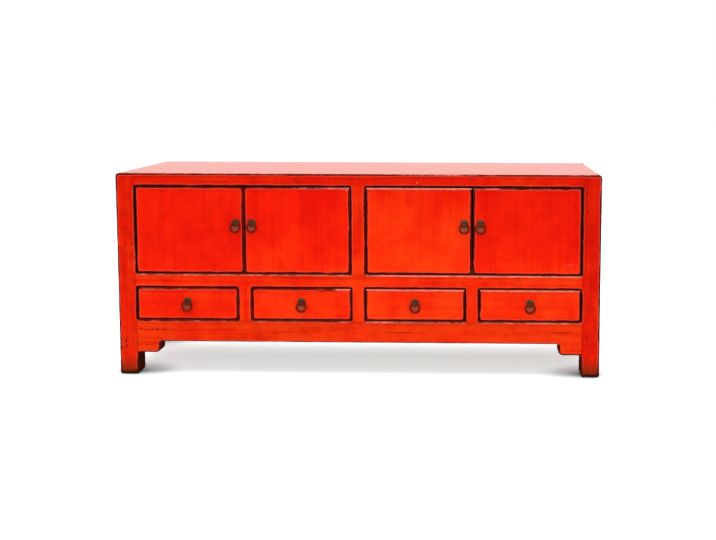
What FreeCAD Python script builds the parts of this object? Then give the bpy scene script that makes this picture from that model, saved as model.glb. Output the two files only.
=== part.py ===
import FreeCAD, Part
import os

import Sketcher

# A low lacquered cabinet: four flush doors over four flush drawers, framed between four square legs.
# Millimetres. +X runs to the right, +Y to the back and +Z up, and the doors face -Y.
# The origin is on the floor, under the middle of the whole outline with its pulls.

SIZES = {
    # Whole cabinet
    "cabinet_width": 1500,
    "cabinet_depth": 450,
    "cabinet_height": 634,
    # Legs and their eased edges
    "leg_width": 58,
    "leg_depth": 60,
    "leg_round": 5,
    "top_end_round": 10,
    "top_edge_round": 4,
    "foot_round": 8,
    # Front frame, from the top down
    "top_rail_height": 38,
    "door_opening_height": 275.5,
    "middle_rail_height": 41,
    "drawer_opening_height": 105.5,
    "bottom_rail_height": 34,
    "rail_setback": 10,
    "centre_stile_width": 44,
    "divider_width": 40,
    "bay_split": 353,
    # Aprons and brackets
    "apron_height": 34,
    "apron_setback": 12,
    "bracket_drop": 36,
    "bracket_length": 71,
    "bracket_round": 11,
    # Mortise and tenon joints
    "tenon_length": 26,
    "tenon_thickness": 16,
    "tenon_setback": 14,
    "tenon_shoulder": 8,
    "stile_tenon_length": 14,
    "batten_tenon_length": 10,
    "batten_tenon_shoulder": 5,
    # Top boards, panels and cupboard floor
    "top_board_thickness": 18,
    "top_rebate": 12,
    "top_batten_width": 40,
    "panel_thickness": 14,
    "panel_recess": 8,
    "panel_groove": 8,
    "floor_thickness": 14,
    "partition_thickness": 18,
    "stop_clearance": 0.5,
    "pivot_notch": 30,
    # Doors
    "front_thickness": 22,
    "front_edge_round": 2.5,
    "door_gap": 4,
    "pivot_diameter": 10,
    "pivot_inset": 12,
    "pivot_depth": 10,
    "pivot_engagement": 12,
    "pivot_seat": 20,
    "pivot_clearance": 0.1,
    "door_batten_width": 40,
    "door_batten_thickness": 16,
    "door_batten_inset": 42,
    "door_batten_end": 30,
    "dovetail_depth": 6,
    "dovetail_flare": 3,
    # Drawers
    "drawer_gap": 4,
    "drawer_length": 360,
    "drawer_side_thickness": 12,
    "drawer_side_drop": 14,
    "drawer_bottom_thickness": 8,
    "drawer_bottom_rise": 8,
    "drawer_groove": 5,
    "drawer_back_drop": 6,
    "drawer_lap": 8,
    "tail_height": 16,
    "runner_height": 16,
    "runner_ledge": 20,
    "runner_clearance": 0.3,
    "guide_height": 16,
    "guide_clearance": 1,
    # Ring pulls
    "door_pull_inset": 23,
    "door_pull_drop": 115,
    "drawer_pull_drop": 46,
    "plate_diameter": 26,
    "plate_rim": 1.2,
    "plate_height": 3.5,
    "ring_diameter": 35,
    "ring_wire": 7,
    "eye_wire": 2.6,
    "eye_clearance": 0.6,
    "pin_diameter": 4,
    "pin_clearance": 0.2,
    "pin_tail_length": 12,
}

TOP_BOARD_COUNT = 3
TAILS_PER_CORNER = 2
TOUCH = 1e-4

LEFT = -1
RIGHT = 1

doc = FreeCAD.newDocument("lacquer_cabinet")
sheet = doc.addObject("Spreadsheet::Sheet", "Sizes")
for row, (alias, length) in enumerate(SIZES.items(), start=1):
    sheet.set(f"A{row}", alias)
    sheet.set(f"B{row}", str(length))
    sheet.setAlias(f"B{row}", alias)
doc.recompute()

nodes = []


class Measure:
    """A length written in the sheet's sizes, so that sums and differences stay bound to them."""

    def __init__(self, text):
        self.text = str(text)

    def __str__(self):
        return self.text

    def __add__(self, other):
        return Measure(f"({self} + {other})")

    def __sub__(self, other):
        return Measure(f"({self} - {other})")

    def __mul__(self, other):
        return Measure(f"({self} * {other})")

    def __truediv__(self, other):
        return Measure(f"({self} / {other})")

    def __neg__(self):
        return Measure(f"(0 - {self})")


def size(alias):
    """The sheet's size with this alias."""
    return Measure(f"Sizes.{alias}")


def value(measure):
    """What a measure comes to in millimetres."""
    return float(sheet.evalExpression(str(measure)))


def grow(span, amount):
    """A span made longer by the same amount at both ends."""
    return span[0] - amount, span[1] + amount


def shrink(span, amount):
    """A span made shorter by the same amount at both ends."""
    return span[0] + amount, span[1] - amount


def middle(span):
    """The place half way along a span."""
    return (span[0] + span[1]) / 2


def about(place, width):
    """The span of a width that is centred on a place."""
    return place - width / 2, place + width / 2


def on_side(side, near, far):
    """The span along X between two distances from the middle, on the left or on the right."""
    return (near, far) if side == RIGHT else (-far, -near)


# Levels, from the top down
top = size("cabinet_height")
door_head = top - size("top_rail_height")
door_sill = door_head - size("door_opening_height")
drawer_head = door_sill - size("middle_rail_height")
drawer_sill = drawer_head - size("drawer_opening_height")
rail_foot = drawer_sill - size("bottom_rail_height")
apron_foot = rail_foot - size("apron_height")
bracket_foot = apron_foot - size("bracket_drop")
floor_level = Measure(0)

# The eye stands on its plate, and the ring hangs in the middle of the eye
eye_hole_radius = size("ring_wire") / 2 + size("eye_clearance")
eye_mean_radius = eye_hole_radius + size("eye_wire") / 2
eye_reach = size("plate_height") + eye_hole_radius + size("eye_wire")
pull_reach = eye_reach + eye_hole_radius + size("eye_wire")

# Rails and aprons are flush with the legs outside and set back from them inside
rail_depth = size("leg_depth") - size("rail_setback")
apron_depth = size("leg_depth") - size("apron_setback")
end_rail_depth = size("leg_width") - size("rail_setback")
end_apron_depth = size("leg_width") - size("apron_setback")

# Places across the cabinet and from front to back
centre_x = Measure(0)
half_width = size("cabinet_width") / 2
leg_inner = half_width - size("leg_width")
stile_side = size("centre_stile_width") / 2
panel_outer = half_width - size("panel_recess")
panel_inner = panel_outer - size("panel_thickness")
front = (pull_reach - size("cabinet_depth")) / 2
back = front + size("cabinet_depth")
leaf_back = front + size("front_thickness")
back_panel_y = (back - size("panel_recess") - size("panel_thickness"), back - size("panel_recess"))

uprights = {"left": -size("bay_split"), "centre": centre_x, "right": size("bay_split")}

between_legs_x = (-leg_inner, leg_inner)
between_legs_y = (front + size("leg_depth"), back - size("leg_depth"))
front_rail_y = (front, front + rail_depth)
rear_rail_y = (back - rail_depth, back)
between_rails_y = (front_rail_y[1], rear_rail_y[0])

# The slab of space that the top boards fill, let into the top rails and the legs
bed_x = shrink((-half_width, half_width), end_rail_depth - size("top_rebate"))
bed_y = shrink((front, back), rail_depth - size("top_rebate"))
bed_z = (top - size("top_board_thickness"), top)

front_tenon_y = (front + size("tenon_setback"), front + size("tenon_setback") + size("tenon_thickness"))
rear_tenon_y = (back - size("tenon_setback") - size("tenon_thickness"), back - size("tenon_setback"))


def box(name, x, y, z):
    """A rectangular solid between two places along each axis."""
    solid = doc.addObject("Part::Box", name)
    for side, span in zip(("Length", "Width", "Height"), (x, y, z)):
        solid.setExpression(side, str(span[1] - span[0]))
    for axis, span in zip("xyz", (x, y, z)):
        solid.setExpression(f"Placement.Base.{axis}", str(span[0]))
    return solid


def place(solid, x, y, z):
    """Binds the place of a solid's own origin."""
    for axis, measure in zip("xyz", (x, y, z)):
        solid.setExpression(f"Placement.Base.{axis}", str(measure))


def upright_pin(name, diameter, x, y, z):
    """A round pin along Z, on an axis at x and y."""
    pin = doc.addObject("Part::Cylinder", name)
    pin.setExpression("Radius", str(diameter / 2))
    pin.setExpression("Height", str(z[1] - z[0]))
    place(pin, x, y, z[0])
    return pin


def level_pin(name, diameter, x, y, z):
    """A round pin along Y, on an axis at x and z."""
    pin = doc.addObject("Part::Cylinder", name)
    pin.setExpression("Radius", str(diameter / 2))
    pin.setExpression("Height", str(y[1] - y[0]))
    pin.Placement.Rotation = FreeCAD.Rotation(FreeCAD.Vector(1, 0, 0), -90)
    place(pin, x, y[0], z)
    return pin


def dovetail(name, x, y, z, narrow):
    """A key that is as wide as z at its front end and narrowed on both sides at its back end."""
    key = doc.addObject("Part::Wedge", name)
    narrow_z = shrink(z, narrow)
    faces = {
        "Xmin": x[0], "Xmax": x[1], "X2min": x[0], "X2max": x[1],
        "Ymin": y[0], "Ymax": y[1],
        "Zmin": z[0], "Zmax": z[1], "Z2min": narrow_z[0], "Z2max": narrow_z[1],
    }
    for face, measure in faces.items():
        key.setExpression(face, str(measure))
    return key


def fuse(name, pieces):
    """One solid made of pieces that overlap or meet."""
    joined = doc.addObject("Part::MultiFuse", name)
    joined.Shapes = pieces
    joined.Refine = True
    return joined


def cut(name, base, tools):
    """A solid with the space of each tool taken out of it, one after the other."""
    for tool in tools:
        trimmed = doc.addObject("Part::Cut", f"{name}_cut")
        trimmed.Base = base
        trimmed.Tool = tool
        trimmed.Refine = True
        base = trimmed
    return base


def edges_on(solid, **planes):
    """Numbers of a solid's edges that lie on every plane given, such as x=0 and z=10."""
    doc.recompute()
    found = []
    for number, edge in enumerate(solid.Shape.Edges, start=1):
        bounds = edge.BoundBox
        lies_on_all = True
        for axis, level in planes.items():
            low = getattr(bounds, f"{axis.upper()}Min")
            high = getattr(bounds, f"{axis.upper()}Max")
            if abs(low - value(level)) > TOUCH or abs(high - value(level)) > TOUCH:
                lies_on_all = False
        if lies_on_all:
            found.append(number)
    return found


def rounded(name, base, radius_of_edge):
    """A solid with some of its edges rounded, each to its own radius."""
    soft = doc.addObject("Part::Fillet", name)
    soft.Base = base
    soft.Edges = [(number, value(radius), value(radius)) for number, radius in radius_of_edge.items()]
    return soft


def node(label, solids):
    """Names a finished piece, or a group of like pieces, as one sub-part."""
    if len(solids) == 1:
        piece = solids[0]
    else:
        piece = doc.addObject("Part::Compound", label)
        piece.Links = solids
    piece.Label = label
    nodes.append(piece)
    return piece


def bar(name, x, y, z, tenons):
    """A straight bar with a tongue inside it that comes out at both ends as tenons."""
    tongue = box(f"{name}_tongue", *tenons)
    return fuse(f"{name}_bar", [box(f"{name}_body", x, y, z), tongue]), tongue


def cross_rail(name, y, z, tenon_y):
    """A rail along X between two legs."""
    tenons = (grow(between_legs_x, size("tenon_length")), tenon_y, shrink(z, size("tenon_shoulder")))
    return bar(name, between_legs_x, y, z, tenons)


def eased_top(rail, face_y):
    """A top rail with the edge between its face and the top rounded."""
    edges = edges_on(rail, y=face_y, z=top)
    return rounded(f"{rail.Name}_eased", rail, dict.fromkeys(edges, size("top_edge_round")))


def end_rail(name, side, depth, z):
    """A rail along Y between a front leg and the rear leg behind it."""
    outer = half_width - size("tenon_setback")
    tenon_x = on_side(side, outer - size("tenon_thickness"), outer)
    tenons = (tenon_x, grow(between_legs_y, size("tenon_length")), shrink(z, size("tenon_shoulder")))
    return bar(name, on_side(side, half_width - depth, half_width), between_legs_y, z, tenons)


def stile(name, x_middle, width, z):
    """An upright in the front frame, between two rails."""
    tenon_x = about(x_middle, width - size("tenon_shoulder") * 2)
    tenons = (tenon_x, front_tenon_y, grow(z, size("stile_tenon_length")))
    return bar(name, about(x_middle, width), front_rail_y, z, tenons)


def outline(sketch, corners):
    """A closed outline of straight lines, with each corner held at its distances from the origin."""
    points = [FreeCAD.Vector(value(across), value(up), 0) for across, up in corners]
    count = len(points)
    for index in range(count):
        sketch.addGeometry(Part.LineSegment(points[index], points[(index + 1) % count]), False)
    for index, (across, up) in enumerate(corners):
        previous = (index - 1) % count
        sketch.addConstraint(Sketcher.Constraint("Coincident", previous, 2, index, 1))
        for kind, measure in (("DistanceX", across), ("DistanceY", up)):
            held = sketch.addConstraint(Sketcher.Constraint(kind, -1, 1, index, 1, value(measure)))
            sketch.setExpression(f"Constraints[{held}]", str(measure))


def body_with_sketch(name, plane):
    """A body and an empty sketch on one of its own origin planes."""
    body = doc.addObject("PartDesign::Body", name)
    sketch = body.newObject("Sketcher::SketchObject", f"{name}_sketch")
    support = [feature for feature in body.Origin.OriginFeatures if feature.Role == plane][0]
    sketch.AttachmentSupport = [(support, "")]
    sketch.MapMode = "FlatFace"
    return body, sketch


def make_front_apron():
    """The front apron, with a bracket that drops beside each leg and has a rounded inner corner."""
    drop = leg_inner - size("bracket_length")
    body, sketch = body_with_sketch("front_apron_board", "XZ_Plane")
    right_half = [(drop, apron_foot), (drop, bracket_foot), (leg_inner, bracket_foot), (leg_inner, rail_foot)]
    left_half = [(-across, up) for across, up in reversed(right_half)]
    outline(sketch, right_half + left_half)
    pad = body.newObject("PartDesign::Pad", "front_apron_pad")
    pad.Profile = sketch
    pad.setExpression("Length", str(apron_depth))
    pad.Reversed = True
    corners = edges_on(pad, x=drop, z=bracket_foot) + edges_on(pad, x=-drop, z=bracket_foot)
    soft = body.newObject("PartDesign::Fillet", "front_apron_corners")
    soft.Base = (pad, [f"Edge{number}" for number in corners])
    soft.setExpression("Radius", str(size("bracket_round")))
    body.setExpression("Placement.Base.y", str(front))
    tenon_z = shrink((apron_foot, rail_foot), size("tenon_shoulder"))
    tongue = box("front_apron_tongue", grow(between_legs_x, size("tenon_length")), front_tenon_y, tenon_z)
    node("front_apron", [fuse("front_apron_joined", [body, tongue])])
    return tongue


def leg_blank(name, side, y, face_y):
    """A square leg with its outer edges eased, before its mortises are cut."""
    outer = half_width if side == RIGHT else -half_width
    solid = box(f"{name}_blank", on_side(side, leg_inner, half_width), y, (floor_level, top))
    radius_of_edge = {number: size("foot_round") for number in edges_on(solid, z=floor_level)}
    radius_of_edge.update({number: size("leg_round") for number in edges_on(solid, x=outer, y=face_y)})
    radius_of_edge.update({number: size("top_end_round") for number in edges_on(solid, x=outer, z=top)})
    radius_of_edge.update({number: size("top_edge_round") for number in edges_on(solid, y=face_y, z=top)})
    return rounded(f"{name}_eased", solid, radius_of_edge)


def make_carcass():
    """Legs, rails, panels and boards, each cut to receive the tenons and panels that enter it."""
    bed = box("top_bed", bed_x, bed_y, bed_z)
    levels = {
        "top": (door_head, top),
        "middle": (drawer_head, door_sill),
        "bottom": (rail_foot, drawer_sill),
    }

    # Panels that run in grooves
    end_panel_y = grow(between_legs_y, size("panel_groove"))
    end_panel_z = grow((drawer_sill, door_head), size("panel_groove"))
    end_panels = {}
    for side, word in ((LEFT, "left"), (RIGHT, "right")):
        end_panels[side] = box(
            f"{word}_panel", on_side(side, panel_inner, panel_outer), end_panel_y, end_panel_z
        )
    node("end_panels", list(end_panels.values()))
    back_panels = []
    for name, z in (("upper", (door_sill, door_head)), ("lower", (drawer_sill, drawer_head))):
        panel_x = grow(between_legs_x, size("panel_groove"))
        back_panels.append(box(f"{name}_back_panel", panel_x, back_panel_y, grow(z, size("panel_groove"))))
    node("back_panels", back_panels)

    # Battens under the top boards
    battens = []
    batten_z = (door_head, bed_z[0])
    for side, word in ((LEFT, "left"), (RIGHT, "right")):
        split = size("bay_split") if side == RIGHT else -size("bay_split")
        tenon_x = about(split, size("top_batten_width") - size("batten_tenon_shoulder") * 2)
        tenon_y = grow(between_rails_y, size("batten_tenon_length"))
        tenons = (tenon_x, tenon_y, shrink(batten_z, size("batten_tenon_shoulder")))
        batten_x = about(split, size("top_batten_width"))
        battens.append(bar(f"{word}_top_batten", batten_x, between_rails_y, batten_z, tenons)[0])
    node("top_battens", battens)

    # Uprights of the front frame
    centre, centre_tongue = stile("centre", centre_x, size("centre_stile_width"), (door_sill, door_head))
    node("centre_stile", [centre])
    dividers = []
    divider_tongues = []
    for word, x_middle in uprights.items():
        divider_z = (drawer_sill, drawer_head)
        divider, tongue = stile(f"{word}_divider", x_middle, size("divider_width"), divider_z)
        dividers.append(divider)
        divider_tongues.append(tongue)
    node("drawer_dividers", dividers)

    # Front rails, with sockets for the door pivots
    rails = {}
    tongues = []
    for level, z in levels.items():
        rails[level], tongue = cross_rail(f"front_{level}", front_rail_y, z, front_tenon_y)
        tongues.append(tongue)
    rails["top"] = eased_top(rails["top"], front)
    head_sockets = []
    sill_sockets = []
    socket_diameter = size("pivot_diameter") + size("pivot_clearance") * 2
    for number, door_x in enumerate(door_spans, start=1):
        pivot_x = pivot_place(number, door_x)
        head_z = (door_head, door_head + size("pivot_engagement"))
        sill_z = (door_sill - size("pivot_engagement"), door_sill)
        pivot_y = front + size("pivot_depth")
        head_sockets.append(upright_pin(f"head_socket_{number}", socket_diameter, pivot_x, pivot_y, head_z))
        sill_sockets.append(upright_pin(f"sill_socket_{number}", socket_diameter, pivot_x, pivot_y, sill_z))
    top_cuts = [bed, centre_tongue] + battens + head_sockets
    node("top_front_rail", [cut("top_front_rail", rails["top"], top_cuts)])
    middle_cuts = [centre_tongue] + divider_tongues + sill_sockets
    node("middle_rail", [cut("middle_rail", rails["middle"], middle_cuts)])
    node("bottom_rail", [cut("bottom_rail", rails["bottom"], divider_tongues)])
    apron_tongue = make_front_apron()

    # Rear rails
    rear_rails = []
    rear_tongues = []
    for level, z in levels.items():
        rail, tongue = cross_rail(f"rear_{level}", rear_rail_y, z, rear_tenon_y)
        rear_cuts = list(back_panels)
        if level == "top":
            rail = eased_top(rail, back)
            rear_cuts += [bed] + battens
        rear_rails.append(cut(f"rear_{level}_rail", rail, rear_cuts))
        rear_tongues.append(tongue)
    node("rear_rails", rear_rails)

    # Rails and aprons at the two ends
    top_end_rails = []
    low_end_rails = []
    end_aprons = []
    end_tongues = {}
    for side, word in ((LEFT, "left"), (RIGHT, "right")):
        outer = half_width if side == RIGHT else -half_width
        rail, top_tongue = end_rail(f"{word}_top", side, end_rail_depth, levels["top"])
        ease_end = dict.fromkeys(edges_on(rail, x=outer, z=top), size("top_end_round"))
        eased = rounded(f"{word}_top_eased", rail, ease_end)
        top_end_rails.append(cut(f"{word}_top_rail", eased, [bed, end_panels[side]]))
        rail, low_tongue = end_rail(f"{word}_low", side, end_rail_depth, levels["bottom"])
        low_end_rails.append(cut(f"{word}_low_rail", rail, [end_panels[side]]))
        apron, end_tongue = end_rail(f"{word}_apron", side, end_apron_depth, (apron_foot, rail_foot))
        end_aprons.append(apron)
        end_tongues[side] = [top_tongue, low_tongue, end_tongue]
    node("top_end_rails", top_end_rails)
    node("end_rails", low_end_rails)
    node("end_aprons", end_aprons)

    # Legs
    rear_legs = []
    for side, word in ((LEFT, "left"), (RIGHT, "right")):
        front_leg_y = (front, front + size("leg_depth"))
        blank = leg_blank(f"front_{word}_leg", side, front_leg_y, front)
        entering = [bed, end_panels[side], apron_tongue] + tongues + end_tongues[side]
        node(f"front_{word}_leg", [cut(f"front_{word}_leg", blank, entering)])
        blank = leg_blank(f"rear_{word}_leg", side, (back - size("leg_depth"), back), back)
        entering = [bed, end_panels[side]] + back_panels + rear_tongues + end_tongues[side]
        rear_legs.append(cut(f"rear_{word}_leg", blank, entering))
    node("rear_legs", rear_legs)

    # Boards of the top, edge to edge
    board_width = (bed_y[1] - bed_y[0]) / TOP_BOARD_COUNT
    boards = []
    for index in range(TOP_BOARD_COUNT):
        board_y = (bed_y[0] + board_width * index, bed_y[0] + board_width * (index + 1))
        boards.append(box(f"top_board_{index + 1}", bed_x, board_y, bed_z))
    node("top_boards", boards)


def make_cupboards():
    """The floor that the doors close against, and the partition between the two cupboards."""
    floor_z = (door_sill, door_sill + size("floor_thickness"))
    floor_x = (-panel_inner, panel_inner)
    slab = box("floor_slab", floor_x, (leaf_back + size("stop_clearance"), back_panel_y[0]), floor_z)
    centre_notch_x = about(centre_x, size("centre_stile_width") + size("pivot_notch") * 2)
    notches = [box("centre_notch", centre_notch_x, front_rail_y, floor_z)]
    for side, word in ((LEFT, "left"), (RIGHT, "right")):
        notch_x = on_side(side, leg_inner - size("pivot_notch"), half_width)
        notches.append(box(f"{word}_pivot_notch", notch_x, (front, between_legs_y[0]), floor_z))
        corner_x = on_side(side, leg_inner, half_width)
        notches.append(box(f"{word}_rear_notch", corner_x, (between_legs_y[1], back), floor_z))
    node("cupboard_floor", [cut("cupboard_floor", slab, notches)])

    wall_x = about(centre_x, size("partition_thickness"))
    wall = box("partition_wall", wall_x, (front_rail_y[1], back_panel_y[0]), (floor_z[1], door_head))
    crest = box("partition_crest", wall_x, between_rails_y, (door_head, bed_z[0]))
    node("cupboard_partition", [fuse("cupboard_partition", [wall, crest])])


def make_runners():
    """Runners with guides under the drawers, and kickers over them that also carry the floor."""
    runner_top = drawer_sill + size("drawer_gap") - size("runner_clearance")
    runner_z = (runner_top - size("runner_height"), runner_top)
    guide_z = (runner_top, runner_top + size("guide_height"))
    kicker_z = (drawer_head, door_sill)
    guide_lead = size("drawer_gap") - size("guide_clearance")
    pieces = []
    for word, x_middle in uprights.items():
        guide_x = about(x_middle, size("divider_width") + guide_lead * 2)
        ledge_x = grow(guide_x, size("runner_ledge"))
        ledge = box(f"{word}_ledge", ledge_x, between_rails_y, runner_z)
        guide = box(f"{word}_guide", guide_x, between_rails_y, guide_z)
        pieces.append(fuse(f"{word}_runner", [ledge, guide]))
        pieces.append(box(f"{word}_kicker", ledge_x, between_rails_y, kicker_z))
    guide_face = leg_inner - guide_lead
    ledge_face = guide_face - size("runner_ledge")
    end_rail_face = half_width - end_rail_depth
    for side, word in ((LEFT, "left"), (RIGHT, "right")):
        for role, z, limit in (("runner", runner_z, end_rail_face), ("kicker", kicker_z, panel_inner)):
            inner = box(f"{word}_end_{role}_inner", on_side(side, ledge_face, leg_inner), between_rails_y, z)
            outer = box(f"{word}_end_{role}_outer", on_side(side, ledge_face, limit), between_legs_y, z)
            parts = [inner, outer]
            if role == "runner":
                guide_x = on_side(side, guide_face, panel_inner)
                parts.append(box(f"{word}_end_guide", guide_x, between_legs_y, guide_z))
            pieces.append(fuse(f"{word}_end_{role}", parts))
    node("drawer_runners", pieces)


def make_pull_pattern():
    """A domed plate and its split pin, at the origin and facing -Y, to be placed on every front."""
    shank_radius = size("pin_diameter") / 2
    hole_radius = shank_radius + size("pin_clearance")
    plate_radius = size("plate_diameter") / 2
    body, sketch = body_with_sketch("pull_plate", "XZ_Plane")
    hole = value(hole_radius)
    rim = value(plate_radius)
    rise = value(size("plate_height"))
    edge = value(size("plate_rim"))
    centre_up = (rise**2 + hole**2 - edge**2 - rim**2) / (2 * (rise - edge))
    start = FreeCAD.Vector(rim, edge, 0)
    crest = FreeCAD.Vector(hole, rise, 0)
    sphere_radius = start.distanceToPoint(FreeCAD.Vector(0, centre_up, 0))
    mid_across = (rim + hole) / 2
    over = FreeCAD.Vector(mid_across, centre_up + (sphere_radius**2 - mid_across**2) ** 0.5, 0)
    foot_in = FreeCAD.Vector(hole, 0, 0)
    foot_out = FreeCAD.Vector(rim, 0, 0)
    sketch.addGeometry(Part.LineSegment(foot_in, foot_out), False)
    sketch.addGeometry(Part.LineSegment(foot_out, start), False)
    sketch.addGeometry(Part.Arc(start, over, crest), False)
    sketch.addGeometry(Part.LineSegment(crest, foot_in), False)
    starts_at_rim = sketch.Geometry[2].StartPoint.distanceToPoint(start) < TOUCH
    dome_start, dome_end = (1, 2) if starts_at_rim else (2, 1)
    for first, first_end, second, second_end in (
        (0, 2, 1, 1), (1, 2, 2, dome_start), (2, dome_end, 3, 1), (3, 2, 0, 1)
    ):
        sketch.addConstraint(Sketcher.Constraint("Coincident", first, first_end, second, second_end))
    sketch.addConstraint(Sketcher.Constraint("PointOnObject", 0, 1, -1))
    sketch.addConstraint(Sketcher.Constraint("Horizontal", 0))
    sketch.addConstraint(Sketcher.Constraint("Vertical", 1))
    sketch.addConstraint(Sketcher.Constraint("Vertical", 3))
    sketch.addConstraint(Sketcher.Constraint("PointOnObject", 2, 3, -2))
    for kind, line, end, measure in (
        ("DistanceX", 0, 1, hole_radius),
        ("DistanceX", 0, 2, plate_radius),
        ("DistanceY", 1, 2, size("plate_rim")),
        ("DistanceY", 3, 1, size("plate_height")),
    ):
        held = sketch.addConstraint(Sketcher.Constraint(kind, -1, 1, line, end, value(measure)))
        sketch.setExpression(f"Constraints[{held}]", str(measure))
    turned = body.newObject("PartDesign::Revolution", "pull_plate_dome")
    turned.Profile = sketch
    turned.ReferenceAxis = (sketch, ["V_Axis"])
    turned.Angle = 360
    body.Placement.Rotation = FreeCAD.Rotation(FreeCAD.Vector(1, 0, 0), 90)

    origin = Measure(0)
    tail_wire = size("pin_diameter") / 2
    shank_y = (-size("plate_height") - size("eye_wire") / 2, size("front_thickness") + tail_wire)
    shank = level_pin("pull_shank", size("pin_diameter"), origin, shank_y, origin)
    tail_y = size("front_thickness") + tail_wire / 2
    tail_z = about(origin, size("pin_tail_length") * 2)
    tails = upright_pin("pull_tails", tail_wire, origin, tail_y, tail_z)
    eye = doc.addObject("Part::Torus", "pull_eye")
    eye.setExpression("Radius1", str(eye_mean_radius))
    eye.setExpression("Radius2", str(size("eye_wire") / 2))
    eye.Placement.Rotation = FreeCAD.Rotation(FreeCAD.Vector(0, 1, 0), 90)
    place(eye, origin, -eye_reach, origin)
    return [body, fuse("pull_split_pin", [shank, tails, eye])]


def make_pull(owner, pattern, x, z):
    """A plate with its split pin, and the ring that hangs in the pin's eye."""
    pull = node(f"{owner}_pull", pattern)
    place(pull, x, front, z)
    ring = doc.addObject("Part::Torus", f"{owner}_ring")
    mean_radius = (size("ring_diameter") - size("ring_wire")) / 2
    ring.setExpression("Radius1", str(mean_radius))
    ring.setExpression("Radius2", str(size("ring_wire") / 2))
    ring.Placement.Rotation = FreeCAD.Rotation(FreeCAD.Vector(1, 0, 0), 90)
    place(ring, x, front - eye_reach, z - mean_radius)
    node(f"{owner}_ring", [ring])


def pin_hole(owner, x, z):
    """The hole that a split pin goes through."""
    diameter = size("pin_diameter") + size("pin_clearance") * 2
    return level_pin(f"{owner}_pin_hole", diameter, x, (front, leaf_back), z)


def front_leaf(owner, x, z):
    """A flush board with the edges of its show face eased."""
    board = box(f"{owner}_board", x, (front, leaf_back), z)
    eased = dict.fromkeys(edges_on(board, y=front), size("front_edge_round"))
    return rounded(f"{owner}_eased", board, eased)


def pivot_place(number, x):
    """The pivot is near the left edge of the odd doors and the right edge of the even ones."""
    return x[0] + size("pivot_inset") if number % 2 else x[1] - size("pivot_inset")


def make_door(number, x, pattern):
    """A leaf with two dovetailed battens behind it, two pivot pins and a ring pull."""
    owner = f"door_{number}"
    z = shrink((door_sill, door_head), size("door_gap"))
    leaf = front_leaf(owner, x, z)
    batten_x = shrink(x, size("door_batten_end"))
    key_y = (leaf_back - size("dovetail_depth"), leaf_back)
    batten_y = (leaf_back, leaf_back + size("door_batten_thickness"))
    battens = []
    batten_levels = {"low": z[0] + size("door_batten_inset"), "high": z[1] - size("door_batten_inset")}
    for word, level in batten_levels.items():
        batten_z = about(level, size("door_batten_width"))
        key = dovetail(f"{owner}_{word}_key", batten_x, key_y, batten_z, size("dovetail_flare"))
        rib = box(f"{owner}_{word}_rib", batten_x, batten_y, shrink(batten_z, size("dovetail_flare")))
        battens.append(fuse(f"{owner}_{word}_batten", [key, rib]))
    pivot_x = pivot_place(number, x)
    pivot_y = front + size("pivot_depth")
    low_z = (door_sill - size("pivot_engagement"), z[0] + size("pivot_seat"))
    high_z = (z[1] - size("pivot_seat"), door_head + size("pivot_engagement"))
    pivots = []
    for word, pivot_z in (("low", low_z), ("high", high_z)):
        pivots.append(upright_pin(f"{owner}_{word}_pivot", size("pivot_diameter"), pivot_x, pivot_y, pivot_z))
    pull_x = x[1] - size("door_pull_inset") if number % 2 else x[0] + size("door_pull_inset")
    pull_z = door_head - size("door_pull_drop")
    cuts = battens + pivots + [pin_hole(owner, pull_x, pull_z)]
    node(f"{owner}_leaf", [cut(f"{owner}_leaf", leaf, cuts)])
    node(f"{owner}_battens", battens)
    node(f"{owner}_pivots", pivots)
    make_pull(owner, pattern, pull_x, pull_z)


def make_drawer(number, x, pattern):
    """A front with half-blind dovetails, two sides, a back let into them and a grooved bottom."""
    owner = f"drawer_{number}"
    z = shrink((drawer_sill, drawer_head), size("drawer_gap"))
    side_z = (z[0], z[1] - size("drawer_side_drop"))
    side_y = (leaf_back, front + size("drawer_length"))
    inside_x = shrink(x, size("drawer_side_thickness"))
    groove_x = grow(inside_x, size("drawer_groove"))
    bottom_foot = z[0] + size("drawer_bottom_rise")
    bottom_z = (bottom_foot, bottom_foot + size("drawer_bottom_thickness"))
    bottom_y = (leaf_back - size("drawer_groove"), side_y[1])
    bottom = box(f"{owner}_bottom", groove_x, bottom_y, bottom_z)
    back_y = (side_y[1] - size("drawer_side_thickness") * 2, side_y[1] - size("drawer_side_thickness"))
    back_z = (bottom_z[1], side_z[1] - size("drawer_back_drop"))
    rear = box(f"{owner}_back", groove_x, back_y, back_z)
    tail_y = (front + size("drawer_lap"), leaf_back)
    tail_pitch = (side_z[1] - side_z[0]) / TAILS_PER_CORNER
    sides = []
    tails = []
    for word, side_x in (("left", (x[0], inside_x[0])), ("right", (inside_x[1], x[1]))):
        pieces = [box(f"{owner}_{word}_board", side_x, side_y, side_z)]
        for index in range(TAILS_PER_CORNER):
            tail_level = side_z[0] + tail_pitch * (index + 0.5)
            tail_z = grow(about(tail_level, size("tail_height")), size("dovetail_flare"))
            name = f"{owner}_{word}_tail_{index + 1}"
            tail = dovetail(name, side_x, tail_y, tail_z, size("dovetail_flare"))
            pieces.append(tail)
            tails.append(tail)
        board = fuse(f"{owner}_{word}_side", pieces)
        sides.append(cut(f"{owner}_{word}_side_grooved", board, [bottom, rear]))
    pull_x = middle(x)
    pull_z = drawer_head - size("drawer_pull_drop")
    cuts = tails + [bottom, pin_hole(owner, pull_x, pull_z)]
    node(f"{owner}_front", [cut(f"{owner}_front", front_leaf(owner, x, z), cuts)])
    node(f"{owner}_box", sides + [rear])
    node(f"{owner}_bottom", [bottom])
    make_pull(owner, pattern, pull_x, pull_z)


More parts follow.
